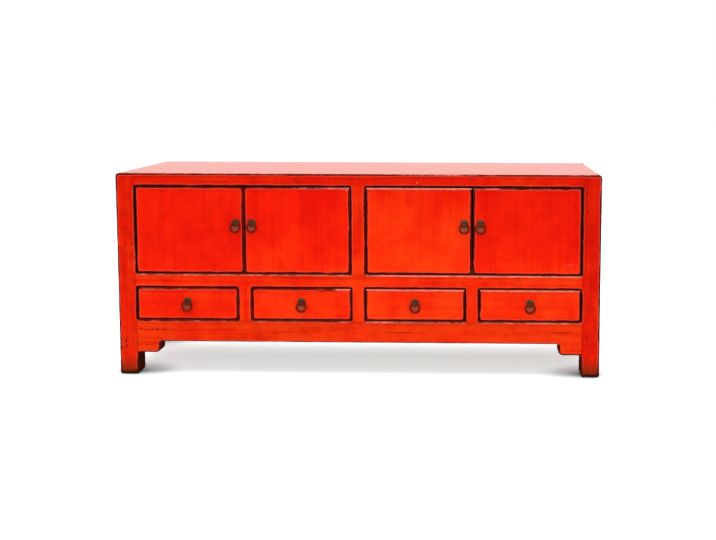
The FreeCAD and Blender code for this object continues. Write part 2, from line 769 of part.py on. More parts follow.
# Doors and drawers across the front, from left to right
door_spans = []
drawer_spans = []
for side in (LEFT, RIGHT):
    outer_door = on_side(side, size("bay_split") + size("door_gap") / 2, leg_inner - size("door_gap"))
    inner_door = on_side(side, stile_side + size("door_gap"), size("bay_split") - size("door_gap") / 2)
    divider_half = size("divider_width") / 2 + size("drawer_gap")
    outer_drawer = on_side(side, size("bay_split") + divider_half, leg_inner - size("drawer_gap"))
    inner_drawer = on_side(side, divider_half, size("bay_split") - divider_half)
    door_spans += [outer_door, inner_door] if side == LEFT else [inner_door, outer_door]
    drawer_spans += [outer_drawer, inner_drawer] if side == LEFT else [inner_drawer, outer_drawer]

make_carcass()
make_cupboards()
make_runners()
pull_pattern = make_pull_pattern()
for number, span in enumerate(door_spans, start=1):
    make_door(number, span, pull_pattern)
for number, span in enumerate(drawer_spans, start=1):
    make_drawer(number, span, pull_pattern)
doc.recompute()

for item in doc.Objects:
    if "Invalid" in item.State or "Error" in item.State:
        raise RuntimeError(f"{item.Label} did not build: {item.State}")
for piece in nodes:
    if piece.Shape.isNull() or not piece.Shape.isValid():
        raise RuntimeError(f"{piece.Label} is not a valid solid")

os.makedirs("parts", exist_ok=True)
for piece in nodes:
    piece.Shape.exportStep(f"parts/{piece.Label}.step")
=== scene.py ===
import math
from dataclasses import dataclass
from functools import reduce

import bpy
import numpy as np
from mathutils import Matrix, Vector, noise


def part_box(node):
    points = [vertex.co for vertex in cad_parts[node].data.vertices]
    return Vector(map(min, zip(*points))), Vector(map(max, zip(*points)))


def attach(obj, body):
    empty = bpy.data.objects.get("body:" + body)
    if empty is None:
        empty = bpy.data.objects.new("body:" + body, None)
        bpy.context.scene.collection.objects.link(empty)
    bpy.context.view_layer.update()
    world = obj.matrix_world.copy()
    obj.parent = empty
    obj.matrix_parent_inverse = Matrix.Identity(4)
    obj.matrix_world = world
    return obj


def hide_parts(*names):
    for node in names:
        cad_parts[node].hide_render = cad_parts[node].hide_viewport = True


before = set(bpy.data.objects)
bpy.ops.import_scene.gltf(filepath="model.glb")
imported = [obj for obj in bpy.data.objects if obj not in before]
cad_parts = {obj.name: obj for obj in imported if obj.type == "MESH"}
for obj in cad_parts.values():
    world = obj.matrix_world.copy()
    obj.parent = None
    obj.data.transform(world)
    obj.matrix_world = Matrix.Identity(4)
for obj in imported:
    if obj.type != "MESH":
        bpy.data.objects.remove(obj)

bl_info = {
    "name": "Lacquered cabinet",
    "version": (1, 0, 0),
    "blender": (4, 5, 0),
    "location": "View3D > Sidebar > Cabinet",
    "description": "Dresses the solid model of a low lacquered cabinet with worn boards, pulls and finishes",
    "category": "Add Mesh",
}

X, Y, Z = 0, 1, 2
SIDES = (-1, 1)
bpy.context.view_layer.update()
DOORS = ("door_1", "door_2", "door_3", "door_4")
DRAWERS = ("drawer_1", "drawer_2", "drawer_3", "drawer_4")


def span(node, axis):
    """Where a CAD node starts and ends along an axis."""
    low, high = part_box(node)
    return low[axis], high[axis]


# Places read from the solid model, in metres
HALF_WIDTH, LEG_INNER = (-place for place in span("front_left_leg", X))
FRONT, FRONT_LEG_BACK = span("front_left_leg", Y)
FLOOR, TOP = span("front_left_leg", Z)
REAR_LEG_FRONT, BACK = span("rear_legs", Y)
RAIL_BACK = span("top_front_rail", Y)[1]
DOOR_HEAD = span("top_front_rail", Z)[0]
DRAWER_HEAD, DOOR_SILL = span("middle_rail", Z)
RAIL_FOOT, DRAWER_SILL = span("bottom_rail", Z)
BRACKET_FOOT = span("front_apron", Z)[0]
APRON_BACK = span("front_apron", Y)[1]
APRON_FOOT = span("end_aprons", Z)[0]
BED_X, BED_Y = span("top_boards", X), span("top_boards", Y)
BED_FLOOR = span("top_boards", Z)[0]
STILE = span("centre_stile", X)
FRONTS = [span(f"{drawer}_front", X) for drawer in DRAWERS]
DIVIDER_GAP = FRONTS[0][0] + LEG_INNER
DIVIDERS = [(left[1] + DIVIDER_GAP, right[0] - DIVIDER_GAP) for left, right in zip(FRONTS, FRONTS[1:])]
LAP = span("drawer_1_box", Y)[0] - FRONT
RAIL_RUN = (-LEG_INNER, LEG_INNER)
END_RUN = (FRONT_LEG_BACK, REAR_LEG_FRONT)
LEGS_ACROSS = [(-HALF_WIDTH, -LEG_INNER), (LEG_INNER, HALF_WIDTH)]
LEGS_DEEP = [(FRONT, FRONT_LEG_BACK), (REAR_LEG_FRONT, BACK)]

# Modelling steps, with lengths in metres
ARC_STEPS = 4
EDGE_STEPS = (0.0015, 0.004, 0.009, 0.016)
EDGE_SHARE = 0.4
CAP_SHARE = 0.7
FADE_STEPS = (0.0, 0.0009, 0.0018, 0.003)
FADE_END = FADE_STEPS[-1]
STATION_STEP = 0.006
FLAT_STEP = 0.008
LEAST_STEP = 1e-5
LEAST_SIDE = 1e-7
WEAR_REACH = 0.020
CRISP = 0.00015
JOINT_EASE = 0.0005
EXPOSED_EASE = 0.001
EDGE_EASE = 0.0006
ROUND_WEAR = 0.006
SMOOTH_ANGLE = math.radians(38)
FLAT = 0.95
FACE_JOINT = (JOINT_EASE, 0.0, 0.0, 0.0)

# Faces named by axis and side, and the share of painted shade on those inside openings, on the inner faces of
# legs, brackets and end aprons, and under the apron
LEFT, RIGHT = (X, -1), (X, 1)
UNDER, OVER = (Z, -1), (Z, 1)
GAP_SHADE = 0.18
INNER_SHADE = 0.97
GAP_EDGES = {face: GAP_SHADE for face in (LEFT, RIGHT, UNDER, OVER)}

# Waves per metre of the arrises' wander and of their chips, and the level where a chip starts
WANDER_SCALES = (11.0, 34.0)
WANDER_SHARE = 0.3
CHIP_SCALE = 95.0
CHIP_LEVEL = 0.30
CHIP_STEEPNESS = 4.0
ARRIS_LEVEL = 0.72
SEED_SHIFT = (3.7, 1.3, 2.1)

# Where along the front the upper arrises of rails get a painted highlight, and how strongly
WAIST_HIGHLIGHT = ((-0.75, 0.0, 0.1, 0.75), (0.45, 0.52, 0.74, 0.66))
FOOT_HIGHLIGHT = ((-0.75, 0.0, 0.1, 0.75), (0.40, 0.46, 0.56, 0.54))
TOP_HIGHLIGHT = ((0.09, 0.14, 0.36, 0.40), (0.0, 0.48, 0.48, 0.0))
PLAIN_HEAD = ((0.0,), (0.0,))
FAR_AWAY = 9.0

# Nicks and scratches on the front: place across and up, half length and half height
DARK_MARKS = (
    (-0.1895, 0.6120, 0.0075, 0.0022), (-0.1800, 0.6090, 0.0040, 0.0016), (0.1900, 0.6010, 0.0060, 0.0018),
    (0.7030, 0.5794, 0.0022, 0.0050), (0.7004, 0.5486, 0.0020, 0.0040), (0.7100, 0.5209, 0.0025, 0.0045),
    (-0.7288, 0.1077, 0.0040, 0.0085), (-0.7274, 0.0902, 0.0048, 0.0055), (-0.7420, 0.0860, 0.0050, 0.0060),
    (-0.7450, 0.1110, 0.0040, 0.0090), (0.6352, 0.1420, 0.0300, 0.0020), (-0.6280, 0.1436, 0.0700, 0.0012),
    (-0.6800, 0.1455, 0.0045, 0.0034), (-0.6290, 0.1450, 0.0040, 0.0042), (-0.6110, 0.1440, 0.0035, 0.0030),
    (-0.6920, 0.1050, 0.0013, 0.0420), (0.7066, 0.1271, 0.0030, 0.0060), (-0.1000, 0.2700, 0.0330, 0.0030),
    (-0.2296, 0.1390, 0.0560, 0.0012), (0.1355, 0.1390, 0.0540, 0.0013), (-0.7020, 0.5257, 0.0022, 0.0050),
    (-0.7029, 0.4132, 0.0022, 0.0060),
)
LIGHT_MARKS = (
    (0.1826, 0.6085, 0.0030, 0.0030), (-0.0330, 0.5850, 0.0040, 0.0040), (0.6541, 0.3560, 0.0120, 0.0007),
    (0.6480, 0.3500, 0.0080, 0.0006),
)
MARK_DEPTH = 0.006
MARK_RIM = (1.25, 0.55)
MARK_RAGGED = 2.2

# Reaches of the lacquer's wear, the painted highlight and the painted shadow below heads: widths beside an
# arris in millimetres, shares of them, and then metres
WORN_WIDTH, FOOT_WIDTH = 1.7, 3.5
WORN_CORE, RUBBED_REACH = 0.3, 3.5
STAIN_HEIGHTS = (0.068, 0.012)
DIRT_HEIGHTS = (0.023, 0.002)
RING_RADII = (0.017, 0.009)
HIGHLIGHT_DEPTHS = (0.0064, 0.0012)
HEAD_SHADOW_DEPTH = 0.020

# Grain along each axis, and how strongly and how sharply the finishes reflect
STRETCH = {X: (2.6, 70.0, 70.0), Y: (70.0, 2.6, 70.0), Z: (70.0, 70.0, 2.6)}
AXIS_WORD = {X: "level", Y: "deep", Z: "upright"}
LACQUER_IOR, POLISHED_IOR, METAL_IOR = 1.09, 1.145, 1.15
LACQUER_ROUGHNESS, POLISHED_ROUGHNESS, WOOD_ROUGHNESS = 0.15, 0.03, 0.50
ORIGIN = (0.0, 0.0, 0.0)


def length_setting(name, default, description, least=0.0001):
    """A length in metres."""
    return bpy.props.FloatProperty(
        name=name, description=description, default=default, min=least, unit="LENGTH", precision=5)


def colour_setting(name, default, description):
    """A colour of three parts."""
    return bpy.props.FloatVectorProperty(
        name=name, description=description, default=default, size=3, min=0.0, max=1.0, subtype="COLOR")


def angle_setting(name, degrees, description):
    """An angle, given here in degrees."""
    return bpy.props.FloatProperty(
        name=name, description=description, default=math.radians(degrees), subtype="ANGLE")


def power_setting(name, watts, description):
    """The power of a light."""
    return bpy.props.FloatProperty(
        name=name, description=description, default=watts, min=0.0, unit="POWER")


class CabinetWork(bpy.types.PropertyGroup):
    """How far the boards are eased and worn."""

    opening_ease: length_setting("Opening ease", 0.0022, "Radius of the arrises round the openings")
    leaf_ease: length_setting("Leaf ease", 0.0026, "Radius of the front arrises of doors and drawers")
    meeting_ease: length_setting("Meeting ease", 0.0032, "Radius of the front arrises where two doors meet")
    leg_ease: length_setting("Leg ease", 0.005, "Radius of the outer arris of each leg")
    top_ease: length_setting("Top ease", 0.004, "Radius of the front arris of the top")
    end_ease: length_setting("Top end ease", 0.010, "Radius of the top arris at the two ends")
    foot_ease: length_setting("Foot ease", 0.008, "Radius round the foot of each leg")
    bracket_length: length_setting("Bracket length", 0.071, "How far a bracket reaches from its leg")
    bracket_round: length_setting("Bracket corner", 0.015, "Radius of the lower corner of a bracket")
    bracket_ease: length_setting("Bracket ease", 0.0045, "Radius of the front arrises of a bracket")
    end_rail_depth: length_setting("End rail depth", 0.048, "How thick the rails at the two ends are")
    end_apron_depth: length_setting("End apron depth", 0.046, "How thick the aprons at the two ends are")
    panel_depth: length_setting("End panel depth", 0.014, "How thick the panels at the two ends are")
    seam_ease: length_setting("Seam ease", 0.0005, "Radius along seams between flush boards")
    plank_ease: length_setting("Plank ease", 0.0012, "Radius along the seams of the back's planks")
    wobble: length_setting("Hand wobble", 0.0008, "How far the arrises wander inwards", 0.0)
    chip_depth: length_setting("Chip depth", 0.0007, "How deep the small chips in the arrises are", 0.0)


class CabinetFinish(bpy.types.PropertyGroup):
    """Colours of the lacquer, the metal and the bare wood."""

    crimson: colour_setting("Crimson", (0.80, 0.0060, 0.0010), "Lacquer where it has darkened")
    vermilion: colour_setting("Vermilion", (0.90, 0.0135, 0.0010), "The lacquer's main colour")
    orange: colour_setting("Orange", (0.97, 0.0420, 0.0025), "Lacquer where it has been rubbed lighter")
    # The worn arris colour is also the colour of the painted shade in the gaps and on inner faces.
    worn: colour_setting("Worn arris", (0.110, 0.0060, 0.0025), "Dark ground showing along worn arrises")
    # Light arris: a painted highlight along the upper arrises, and the colour of the real light chips and
    # scratches.
    light: colour_setting("Light arris", (0.92, 0.25, 0.16), "Upper arrises and chips that are rubbed light")
    # Rubbed lacquer: real thinning beside the arrises, lightened to a painted sheen of the rounded arris.
    rubbed: colour_setting("Rubbed lacquer", (0.76, 0.105, 0.060), "Lacquer rubbed thin beside the arrises")
    # The top's lacquer: more orange, and painted darker to offset the strong light the top catches from
    # above.
    faded: colour_setting("Faded top", (0.52, 0.048, 0.0030), "Lacquer of the top, faded by daylight")
    dull: colour_setting("Dull lacquer", (0.25, 0.120, 0.080), "Lacquer dulled behind the rings")
    stain: colour_setting("Foot stain", (0.25, 0.0210, 0.0030), "Browned lacquer above the feet")
    # The foot dirt colour is also the colour of the deepest painted shade, on inner faces.
    dirt: colour_setting("Foot dirt", (0.030, 0.010, 0.003), "Dirt and lost lacquer at the feet")
    bronze: colour_setting("Bronze", (0.150, 0.012, 0.003), "The rings' red-brown metal")
    plate: colour_setting("Plate", (0.050, 0.024, 0.011), "The plates' dark brown metal")
    patina: colour_setting("Patina", (0.082, 0.050, 0.021), "Greenish bloom on the plates")
    wood_light: colour_setting("Light wood", (0.36, 0.21, 0.105), "Bare wood between its grain lines")
    wood_dark: colour_setting("Dark wood", (0.15, 0.075, 0.034), "Grain lines of the bare wood")


class CabinetStage(bpy.types.PropertyGroup):
    """The camera, the lights and the floor."""

    camera_place: bpy.props.FloatVectorProperty(
        name="Camera place", description="Where the camera stands",
        default=(0.3515, -2.8686, 0.8927), size=3, unit="LENGTH")
    camera_turn: angle_setting("Camera turn", 0.937, "Turn of the camera towards the left")
    camera_dip: angle_setting("Camera dip", 4.609, "How far the camera looks down")
    camera_roll: angle_setting("Camera roll", 0.178, "Roll of the camera")
    lens: bpy.props.FloatProperty(
        name="Lens", description="Focal length on a 36 mm frame", default=43.77, min=10.0, unit="CAMERA")
    shift_x: bpy.props.FloatProperty(
        name="Shift across", description="Shift of the lens across, as the photograph is framed",
        default=-0.1397)
    shift_y: bpy.props.FloatProperty(
        name="Shift up", description="Shift of the lens up, as the photograph is framed", default=-0.1536)
    sky: bpy.props.FloatProperty(
        name="Room light", description="Level of the even light from all round", default=0.54, min=0.0)
    overhead: power_setting("Overhead light", 92.0, "Power of the soft light overhead")
    fill: power_setting("Front light", 32.0, "Power of the soft light in front")
    rear: power_setting("Rear light", 45.0, "Power of the soft light behind")
    floor_glow: bpy.props.FloatProperty(
        name="Floor white", description="Share of the floor's white that shadow does not touch",
        default=0.50, min=0.0, max=1.0, subtype="FACTOR")


@dataclass
class Ease:
    """An arris's easing along a board, which dies away where another piece is joined on."""

    radius: float
    joints: tuple = ()

    def along(self, places):
        """The easing at places along the board."""
        share = np.ones_like(places)
        for start, end in self.joints:
            beyond = np.maximum(start - places, places - end)
            share = np.minimum(share, np.clip(beyond / FADE_END, 0.0, 1.0))
        share = share * share * (3.0 - 2.0 * share)
        return JOINT_EASE + (self.radius - JOINT_EASE) * share

    def breaks(self):
        """Places along the board where the easing changes."""
        steps = np.array(FADE_STEPS)
        return [place for start, end in self.joints for place in (*(start - steps), *(end + steps))]


@dataclass
class Corner:
    """One corner of a board's section: its place, its easing, and how its two ends are rounded."""

    a: float
    b: float
    ease: Ease | float = 0.0
    low: tuple = (0.0, 0.0)
    high: tuple = (0.0, 0.0)

    def __post_init__(self):
        if not isinstance(self.ease, Ease):
            self.ease = Ease(self.ease)


class Joinery:
    """Points, faces, distances from a worn arris and grime, gathered for one piece."""

    def __init__(self):
        self.points, self.faces, self.wear, self.grime = [], [], [], []
        self.count = 0

    def add(self, points, faces, wear, grime):
        self.points.append(points)
        self.faces.extend(tuple(int(index) + self.count for index in face) for face in faces)
        self.wear.append(wear)
        self.grime.append(grime)
        self.count += len(points)


def drawn_in(radius, depth):
    """How far a rounded end has drawn in at a depth from the end; the radius carries the direction."""
    full = abs(radius)
    rest = np.clip(full - depth, 0.0, full)
    return np.sign(radius) * (full - np.sqrt(full**2 - rest**2))


def end_wear(from_low, from_high, low_round, high_round):
    """Distance from the rounding of the nearest worn end of a board."""
    distance = np.full_like(from_low, WEAR_REACH)
    for depth, radius in ((from_low, low_round), (from_high, high_round)):
        if radius > EXPOSED_EASE:
            distance = np.minimum(distance, np.maximum(depth - min(radius, ROUND_WEAR), 0.0))
    return distance


def stations(run, corners):
    """Places along a board where a section is laid, closer together at rounded ends."""
    start, end = run
    curve = 1.0 - np.cos(np.linspace(0.0, math.pi / 2, ARC_STEPS + 1))
    low_rounds = {abs(radius) for corner in corners for radius in corner.low if radius}
    high_rounds = {abs(radius) for corner in corners for radius in corner.high if radius}
    first = start + max(low_rounds, default=0.0)
    last = end - max(high_rounds, default=0.0)
    count = max(2, int(round((last - first) / STATION_STEP)) + 1)
    places = [np.linspace(first, last, count), run]
    places += [start + radius * curve for radius in low_rounds]
    places += [end - radius * curve for radius in high_rounds]
    places += [[place for place in corner.ease.breaks() if first < place < last] for corner in corners]
    merged = np.unique(np.concatenate(places))
    return merged[np.concatenate(([True], np.diff(merged) > LEAST_STEP))]


def side_shares(length):
    """Where points lie along one side of a section, as shares of the side, closer near its arrises."""
    near = [step for step in EDGE_STEPS if step < length * EDGE_SHARE]
    if not near:
        return []
    shares = [step / length for step in near] + [1.0 - step / length for step in near]
    room = length - 2.0 * near[-1]
    count = int(room / FLAT_STEP)
    shares += [(near[-1] + room * number / count) / length for number in range(1, count)]
    return sorted(shares)


def lay_section(axis, run, along, corners, shaded_and_grimy):
    """Rows of points along a board, with their distances from a worn arris and their grime."""
    outline = np.array([(corner.a, corner.b) for corner in corners])
    edge = np.roll(outline, -1, axis=0) - outline
    length = np.abs(edge).sum(axis=1)
    way = np.sign(np.where(np.abs(edge) > LEAST_SIDE, edge, 0.0))
    from_low, from_high = along - run[0], run[1] - along
    places, eases, hidden, soiled = [], [], [], []
    for corner, (way_a, way_b) in zip(corners, way):
        shift_a, shift_b = (
            drawn_in(low, from_low) + drawn_in(high, from_high) for low, high in zip(corner.low, corner.high))
        places.append(np.stack([corner.a + shift_a, corner.b + shift_b], axis=1))
        eases.append(corner.ease.along(along))
        hidden.append(WEAR_REACH * (1.0 - np.clip(eases[-1] / EXPOSED_EASE, 0.0, 1.0)))
        facing = ((axis + 1) % 3, way_b) if way_b else ((axis + 2) % 3, -way_a)
        # Each side's share of darkening: painted shade on gap and inner faces, a darker tone on the boards
        # behind.
        soiled.append(shaded_and_grimy.get(facing, 0.0))

    rows, wear, grime = [], [], []
    for number, corner in enumerate(corners):
        after = (number + 1) % len(corners)
        into, out = way[number - 1], way[number]
        ease = eases[number]
        ends = end_wear(from_low, from_high, max(map(abs, corner.low)), max(map(abs, corner.high)))
        is_convex = into[0] * out[1] - into[1] * out[0] > 0.0
        if is_convex and np.max(ease) > 0.0:
            for step in range(ARC_STEPS + 1):
                angle = step / ARC_STEPS * math.pi / 2
                bend = out * (1.0 - math.cos(angle)) - into * (1.0 - math.sin(angle))
                rows.append(places[number] + ease[:, None] * bend)
                aside = ease * math.pi / 4 * abs(2.0 * step / ARC_STEPS - 1.0)
                wear.append(np.minimum(hidden[number] + np.maximum(aside - ROUND_WEAR / 2, 0.0), ends))
                grime.append({0: soiled[number - 1], ARC_STEPS: soiled[number]}.get(step, 0.0))
        else:
            rows.append(places[number])
            wear.append(np.minimum(hidden[number], ends))
            grime.append(max(soiled[number - 1], soiled[number]))
        facing = 1 if out[0] else 0
        low_round = max(abs(corner.low[facing]), abs(corners[after].low[facing]))
        high_round = max(abs(corner.high[facing]), abs(corners[after].high[facing]))
        ends = end_wear(from_low, from_high, low_round, high_round)
        first = places[number] + ease[:, None] * out
        last = places[after] - eases[after][:, None] * out
        for share in side_shares(length[number]):
            rows.append(first + share * (last - first))
            near = share * length[number] + hidden[number]
            far = (1.0 - share) * length[number] + hidden[after]
            wear.append(np.minimum(np.minimum(near, far), ends))
            grime.append(soiled[number])
    shade_and_soil = np.tile(grime, (len(along), 1))
    shade_and_soil[0] = np.maximum(shade_and_soil[0], shaded_and_grimy.get((axis, -1), 0.0))
    shade_and_soil[-1] = np.maximum(shade_and_soil[-1], shaded_and_grimy.get((axis, 1), 0.0))
    return np.stack(rows, axis=1), np.stack(wear, axis=1), shade_and_soil


def laid(axis, along, section):
    """Points in space, from places along an axis and across it."""
    points = np.empty(section.shape[:-1] + (3,))
    points[..., axis] = along
    points[..., (axis + 1) % 3] = section[..., 0]
    points[..., (axis + 2) % 3] = section[..., 1]
    return points.reshape(-1, 3)


def add_board(boards, axis, run, corners, shaded_and_grimy=None):
    """Adds a board to a piece: a section with eased arrises, laid along an axis from one place to another.

    The grimy faces are given as a share of grime for each axis and side.
    """
    shaded_and_grimy = shaded_and_grimy or {}
    twice_area = sum(
        first.a * second.b - first.b * second.a for first, second in zip(corners, corners[1:] + corners[:1]))
    if twice_area < 0.0:
        corners = corners[::-1]
    along = stations(run, corners)
    section, near, shade_and_soil = lay_section(axis, run, along, corners, shaded_and_grimy)
    index = np.arange(near.size).reshape(near.shape)
    turned = np.roll(index, -1, axis=1)
    faces = np.stack((index[:-1], turned[:-1], turned[1:], index[1:]), axis=-1).reshape(-1, 4).tolist()
    points, wear, grime = [laid(axis, along[:, None], section)], [near.reshape(-1)], [shade_and_soil.reshape(-1)]
    count = near.size
    for at, place, side in ((0, run[0], -1), (-1, run[1], 1)):
        rim, ring = section[at], index[at]
        centre = (rim.min(axis=0) + rim.max(axis=0)) / 2
        half = np.ptp(rim, axis=0) / 2
        for depth in EDGE_STEPS:
            if depth > CAP_SHARE * half.min():
                break
            points.append(laid(axis, place, centre + (rim - centre) * (half - depth) / half))
            wear.append(near[at] + depth)
            grime.append(np.full(len(rim), shaded_and_grimy.get((axis, side), 0.0)))
            inner = np.arange(count, count + len(rim))
            count += len(rim)
            quads = np.stack((ring, np.roll(ring, -1), np.roll(inner, -1), inner), axis=-1)
            faces.extend((quads if side > 0 else quads[:, ::-1]).tolist())
            ring = inner
        faces.append((ring if side > 0 else ring[::-1]).tolist())
    boards.add(np.concatenate(points), faces, np.concatenate(wear), np.concatenate(grime))


def block(a, b, eases, ends=(0.0, 0.0, 0.0, 0.0)):
    """Four corners of a rectangular section; the roundings of both ends are for its sides a0, a1, b0, b1."""
    corners = []
    for (at_a, at_b), ease in zip(((0, 0), (1, 0), (1, 1), (0, 1)), eases):
        rounds = ((1 - 2 * at_a) * ends[at_a], (1 - 2 * at_b) * ends[2 + at_b])
        corners.append(Corner(a[at_a], b[at_b], ease, rounds, rounds))
    return corners


def vectors(source, field):
    """A field of three numbers read from all the points of a mesh."""
    flat = np.zeros(len(source) * 3)
    source.foreach_get(field, flat)
    return flat.reshape(-1, 3)


def crest_between(crest, joints):
    """A rail's light arris, broken off where posts meet the rail."""
    places = list(crest[0])
    for start, end in joints:
        places += [start - FADE_END, start, end, end + FADE_END]
    places = np.sort(places)
    shares = np.interp(places, *crest)
    for start, end in joints:
        shares[(places >= start) & (places <= end)] = 0.0
    return places, shares


def seed_of(name, limit):
    """A fixed seed below a limit, made from a name."""
    return sum(ord(letter) for letter in name) % limit


def roughen(mesh, near, seed, work):
    """Lets the arrises wander and chips them, always inwards."""
    places = vectors(mesh.vertices, "co")
    normals = vectors(mesh.vertex_normals, "vector")
    shift = Vector([seed * part for part in SEED_SHIFT])
    depth = np.zeros(len(places))
    for number in np.nonzero(near > 0.5)[0]:
        place = Vector(places[number])
        wander = 0.5 + sum(WANDER_SHARE * noise.noise(place * scale + shift) for scale in WANDER_SCALES)
        chip = (noise.noise(place * CHIP_SCALE - shift) - CHIP_LEVEL) * CHIP_STEEPNESS
        depth[number] = work.wobble * max(0.0, wander) + work.chip_depth * min(1.0, max(0.0, chip))
    strength = np.clip((near - ARRIS_LEVEL) / (1.0 - ARRIS_LEVEL), 0.0, 1.0) ** 1.5
    places -= normals * (depth * strength)[:, None]
    mesh.vertices.foreach_set("co", places.reshape(-1))


@dataclass
class Finish:
    """The materials of a piece and how its lacquer has aged.

    The tone runs from crimson at 0 to orange at 1 and the shade darkens the lacquer; each is one value, or
    one for the piece's foot and one for its head. The age is how strongly streaks and dark clouds show. A
    piece whose head is free has a crest: places along the front, and how light the upper arris is rubbed
    there. The back, which faces the middle of the cabinet along one axis, may be left bare, and the cabinet's
    upper face may have its own material.
    """

    front: bpy.types.Material
    tone: float | tuple
    shade: float | tuple = 1.0
    age: float = 1.0
    crest: tuple = None
    back: bpy.types.Material = None
    top: bpy.types.Material = None
    inward: int = Y
    slot: str = "red_lacquer"


def add_object(context, name, data):
    """A new object in the scene."""
    made = bpy.data.objects.new(name, data)
    context.scene.collection.objects.link(made)
    return made


def make_piece(context, name, node, boards, finish, body="carcass", pull=None):
    """Turns gathered boards into one piece that rides on a body and stands for its CAD node."""
    mesh = bpy.data.meshes.new(name)
    mesh.from_pydata(np.concatenate(boards.points).tolist(), [], boards.faces)
    mesh.update()
    near = np.clip(1.0 - np.concatenate(boards.wear) / WEAR_REACH, 0.0, 1.0)
    roughen(mesh, near, seed_of(name, 97), context.scene.cabinet_work)
    mesh.update()
    places = vectors(mesh.vertices, "co")
    across, up = places[:, X], places[:, Z]
    height = (up - up.min()) / np.ptp(up)
    grime = np.concatenate(boards.grime)
    fields = {
        "arris": near,
        "grime": grime,
        "crest": np.interp(across, *(finish.crest or PLAIN_HEAD)) * (grime == 0.0),
        # How far below its head a point lies, for the painted shadow there; a piece without a highlight gets
        # none.
        "below": up.max() - up + (0.0 if finish.crest else FAR_AWAY),
        "age": np.full(len(places), finish.age),
        "tone": np.interp(height, (0.0, 1.0), np.broadcast_to(finish.tone, 2)),
        "shade": np.interp(height, (0.0, 1.0), np.broadcast_to(finish.shade, 2)),
    }
    for field, values in fields.items():
        mesh.attributes.new(field, "FLOAT", "POINT").data.foreach_set("value", values)
    from_pull = places - np.array(pull) if pull else np.full_like(places, FAR_AWAY)
    painted = mesh.attributes.new("from_pull", "FLOAT_VECTOR", "POINT")
    painted.data.foreach_set("vector", from_pull.reshape(-1))
    for material in (finish.front, finish.back, finish.top):
        mesh.materials.append(material or finish.front)
    for face in mesh.polygons:
        facing = face.normal[finish.inward]
        if abs(facing) > FLAT and facing * face.center[finish.inward] < 0.0:
            face.material_index = 1
        elif face.normal.z > FLAT and face.center.z > TOP - EXPOSED_EASE:
            face.material_index = 2
    mesh.shade_smooth()
    mesh.set_sharp_from_angle(angle=SMOOTH_ANGLE)
    piece = add_object(context, name, mesh)
    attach(piece, body)
    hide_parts(node)


class Nodes:
    """Adds nodes to a tree; what goes into a node is a plain value or a socket to link."""

    def __init__(self, tree):
        self.tree = tree

    def feed(self, socket, entry):
        """Links a socket into an input, or gives the input a plain value."""
        if isinstance(entry, bpy.types.NodeSocket):
            self.tree.links.new(entry, socket)
        else:
            socket.default_value = entry

    def add(self, kind, entries=None, **settings):
        """The outputs of a new node with its settings and entries."""
        made = self.tree.nodes.new(kind)
        for name, setting in settings.items():
            setattr(made, name, setting)
        for key, entry in (entries or {}).items():
            self.feed(made.inputs[key], entry)
        return made.outputs

    def group(self, tree, **entries):
        """The outputs of a group of nodes with its own entries."""
        return self.add("ShaderNodeGroup", entries, node_tree=tree)

    def calc(self, operation, *entries, clamp=False):
        """The result of one sum."""
        return self.add("ShaderNodeMath", dict(enumerate(entries)), operation=operation, use_clamp=clamp)[0]

    def plus(self, *entries):
        """All entries added up."""
        return reduce(lambda total, entry: self.calc("ADD", total, entry), entries)

    def times(self, *entries):
        """All entries multiplied."""
        return reduce(lambda total, entry: self.calc("MULTIPLY", total, entry), entries)

    def most(self, *entries):
        """The largest of all entries."""
        return reduce(lambda total, entry: self.calc("MAXIMUM", total, entry), entries)

    def rest(self, entry):
        """What an entry leaves of one."""
        return self.calc("SUBTRACT", 1.0, entry)

    def swing(self, entry, amount, about=0.5):
        """A cloudy value made to swing about zero."""
        return self.times(self.calc("SUBTRACT", entry, about), amount)

    def vector(self, operation, *entries):
        """The outputs of one sum on vectors."""
        return self.add("ShaderNodeVectorMath", dict(enumerate(entries)), operation=operation)

    def fade(self, entry, low, high, to_low=0.0, to_high=1.0):
        """A smooth step of a value from one level to another."""
        entries = {"Value": entry, 1: low, 2: high, 3: to_low, 4: to_high}
        return self.add("ShaderNodeMapRange", entries, interpolation_type="SMOOTHSTEP")[0]

    def blend(self, share, first, second):
        """Two colours mixed by a share."""
        return self.add("ShaderNodeMix", {0: share, 6: first, 7: second}, data_type="RGBA")[2]

    def grains(self, place, scale, detail=3.0, rough=0.55):
        """A cloudy value from 0 to 1."""
        entries = {"Vector": place, "Scale": scale, "Detail": detail, "Roughness": rough}
        return self.add("ShaderNodeTexNoise", entries)["Fac"]

    def field(self, name, output="Fac"):
        """A value painted on the points of a piece."""
        return self.add("ShaderNodeAttribute", attribute_name=name)[output]

    def bump(self, height, strength, distance):
        """The normal of a surface with a fine relief."""
        return self.add("ShaderNodeBump", {"Height": height, "Strength": strength, "Distance": distance})[0]


def shader_group(*outputs, **inputs):
    """Turns a function that fills a tree of nodes into one that gives the group of its name, made once."""

    def wrap(fill):
        def find():
            name = fill.__name__
            if name in bpy.data.node_groups:
                return bpy.data.node_groups[name]
            tree = bpy.data.node_groups.new(name, "ShaderNodeTree")
            for label, default in inputs.items():
                kind = "NodeSocketVector" if isinstance(default, tuple) else "NodeSocketFloat"
                tree.interface.new_socket(label, in_out="INPUT", socket_type=kind).default_value = default
            for label in outputs:
                tree.interface.new_socket(label, in_out="OUTPUT", socket_type="NodeSocketFloat")
            results = fill(Nodes(tree), tree.nodes.new("NodeGroupInput").outputs)
            ends = tree.nodes.new("NodeGroupOutput").inputs
            for label, socket in zip(outputs, results):
                tree.links.new(socket, ends[label])
            return tree

        return find

    return wrap


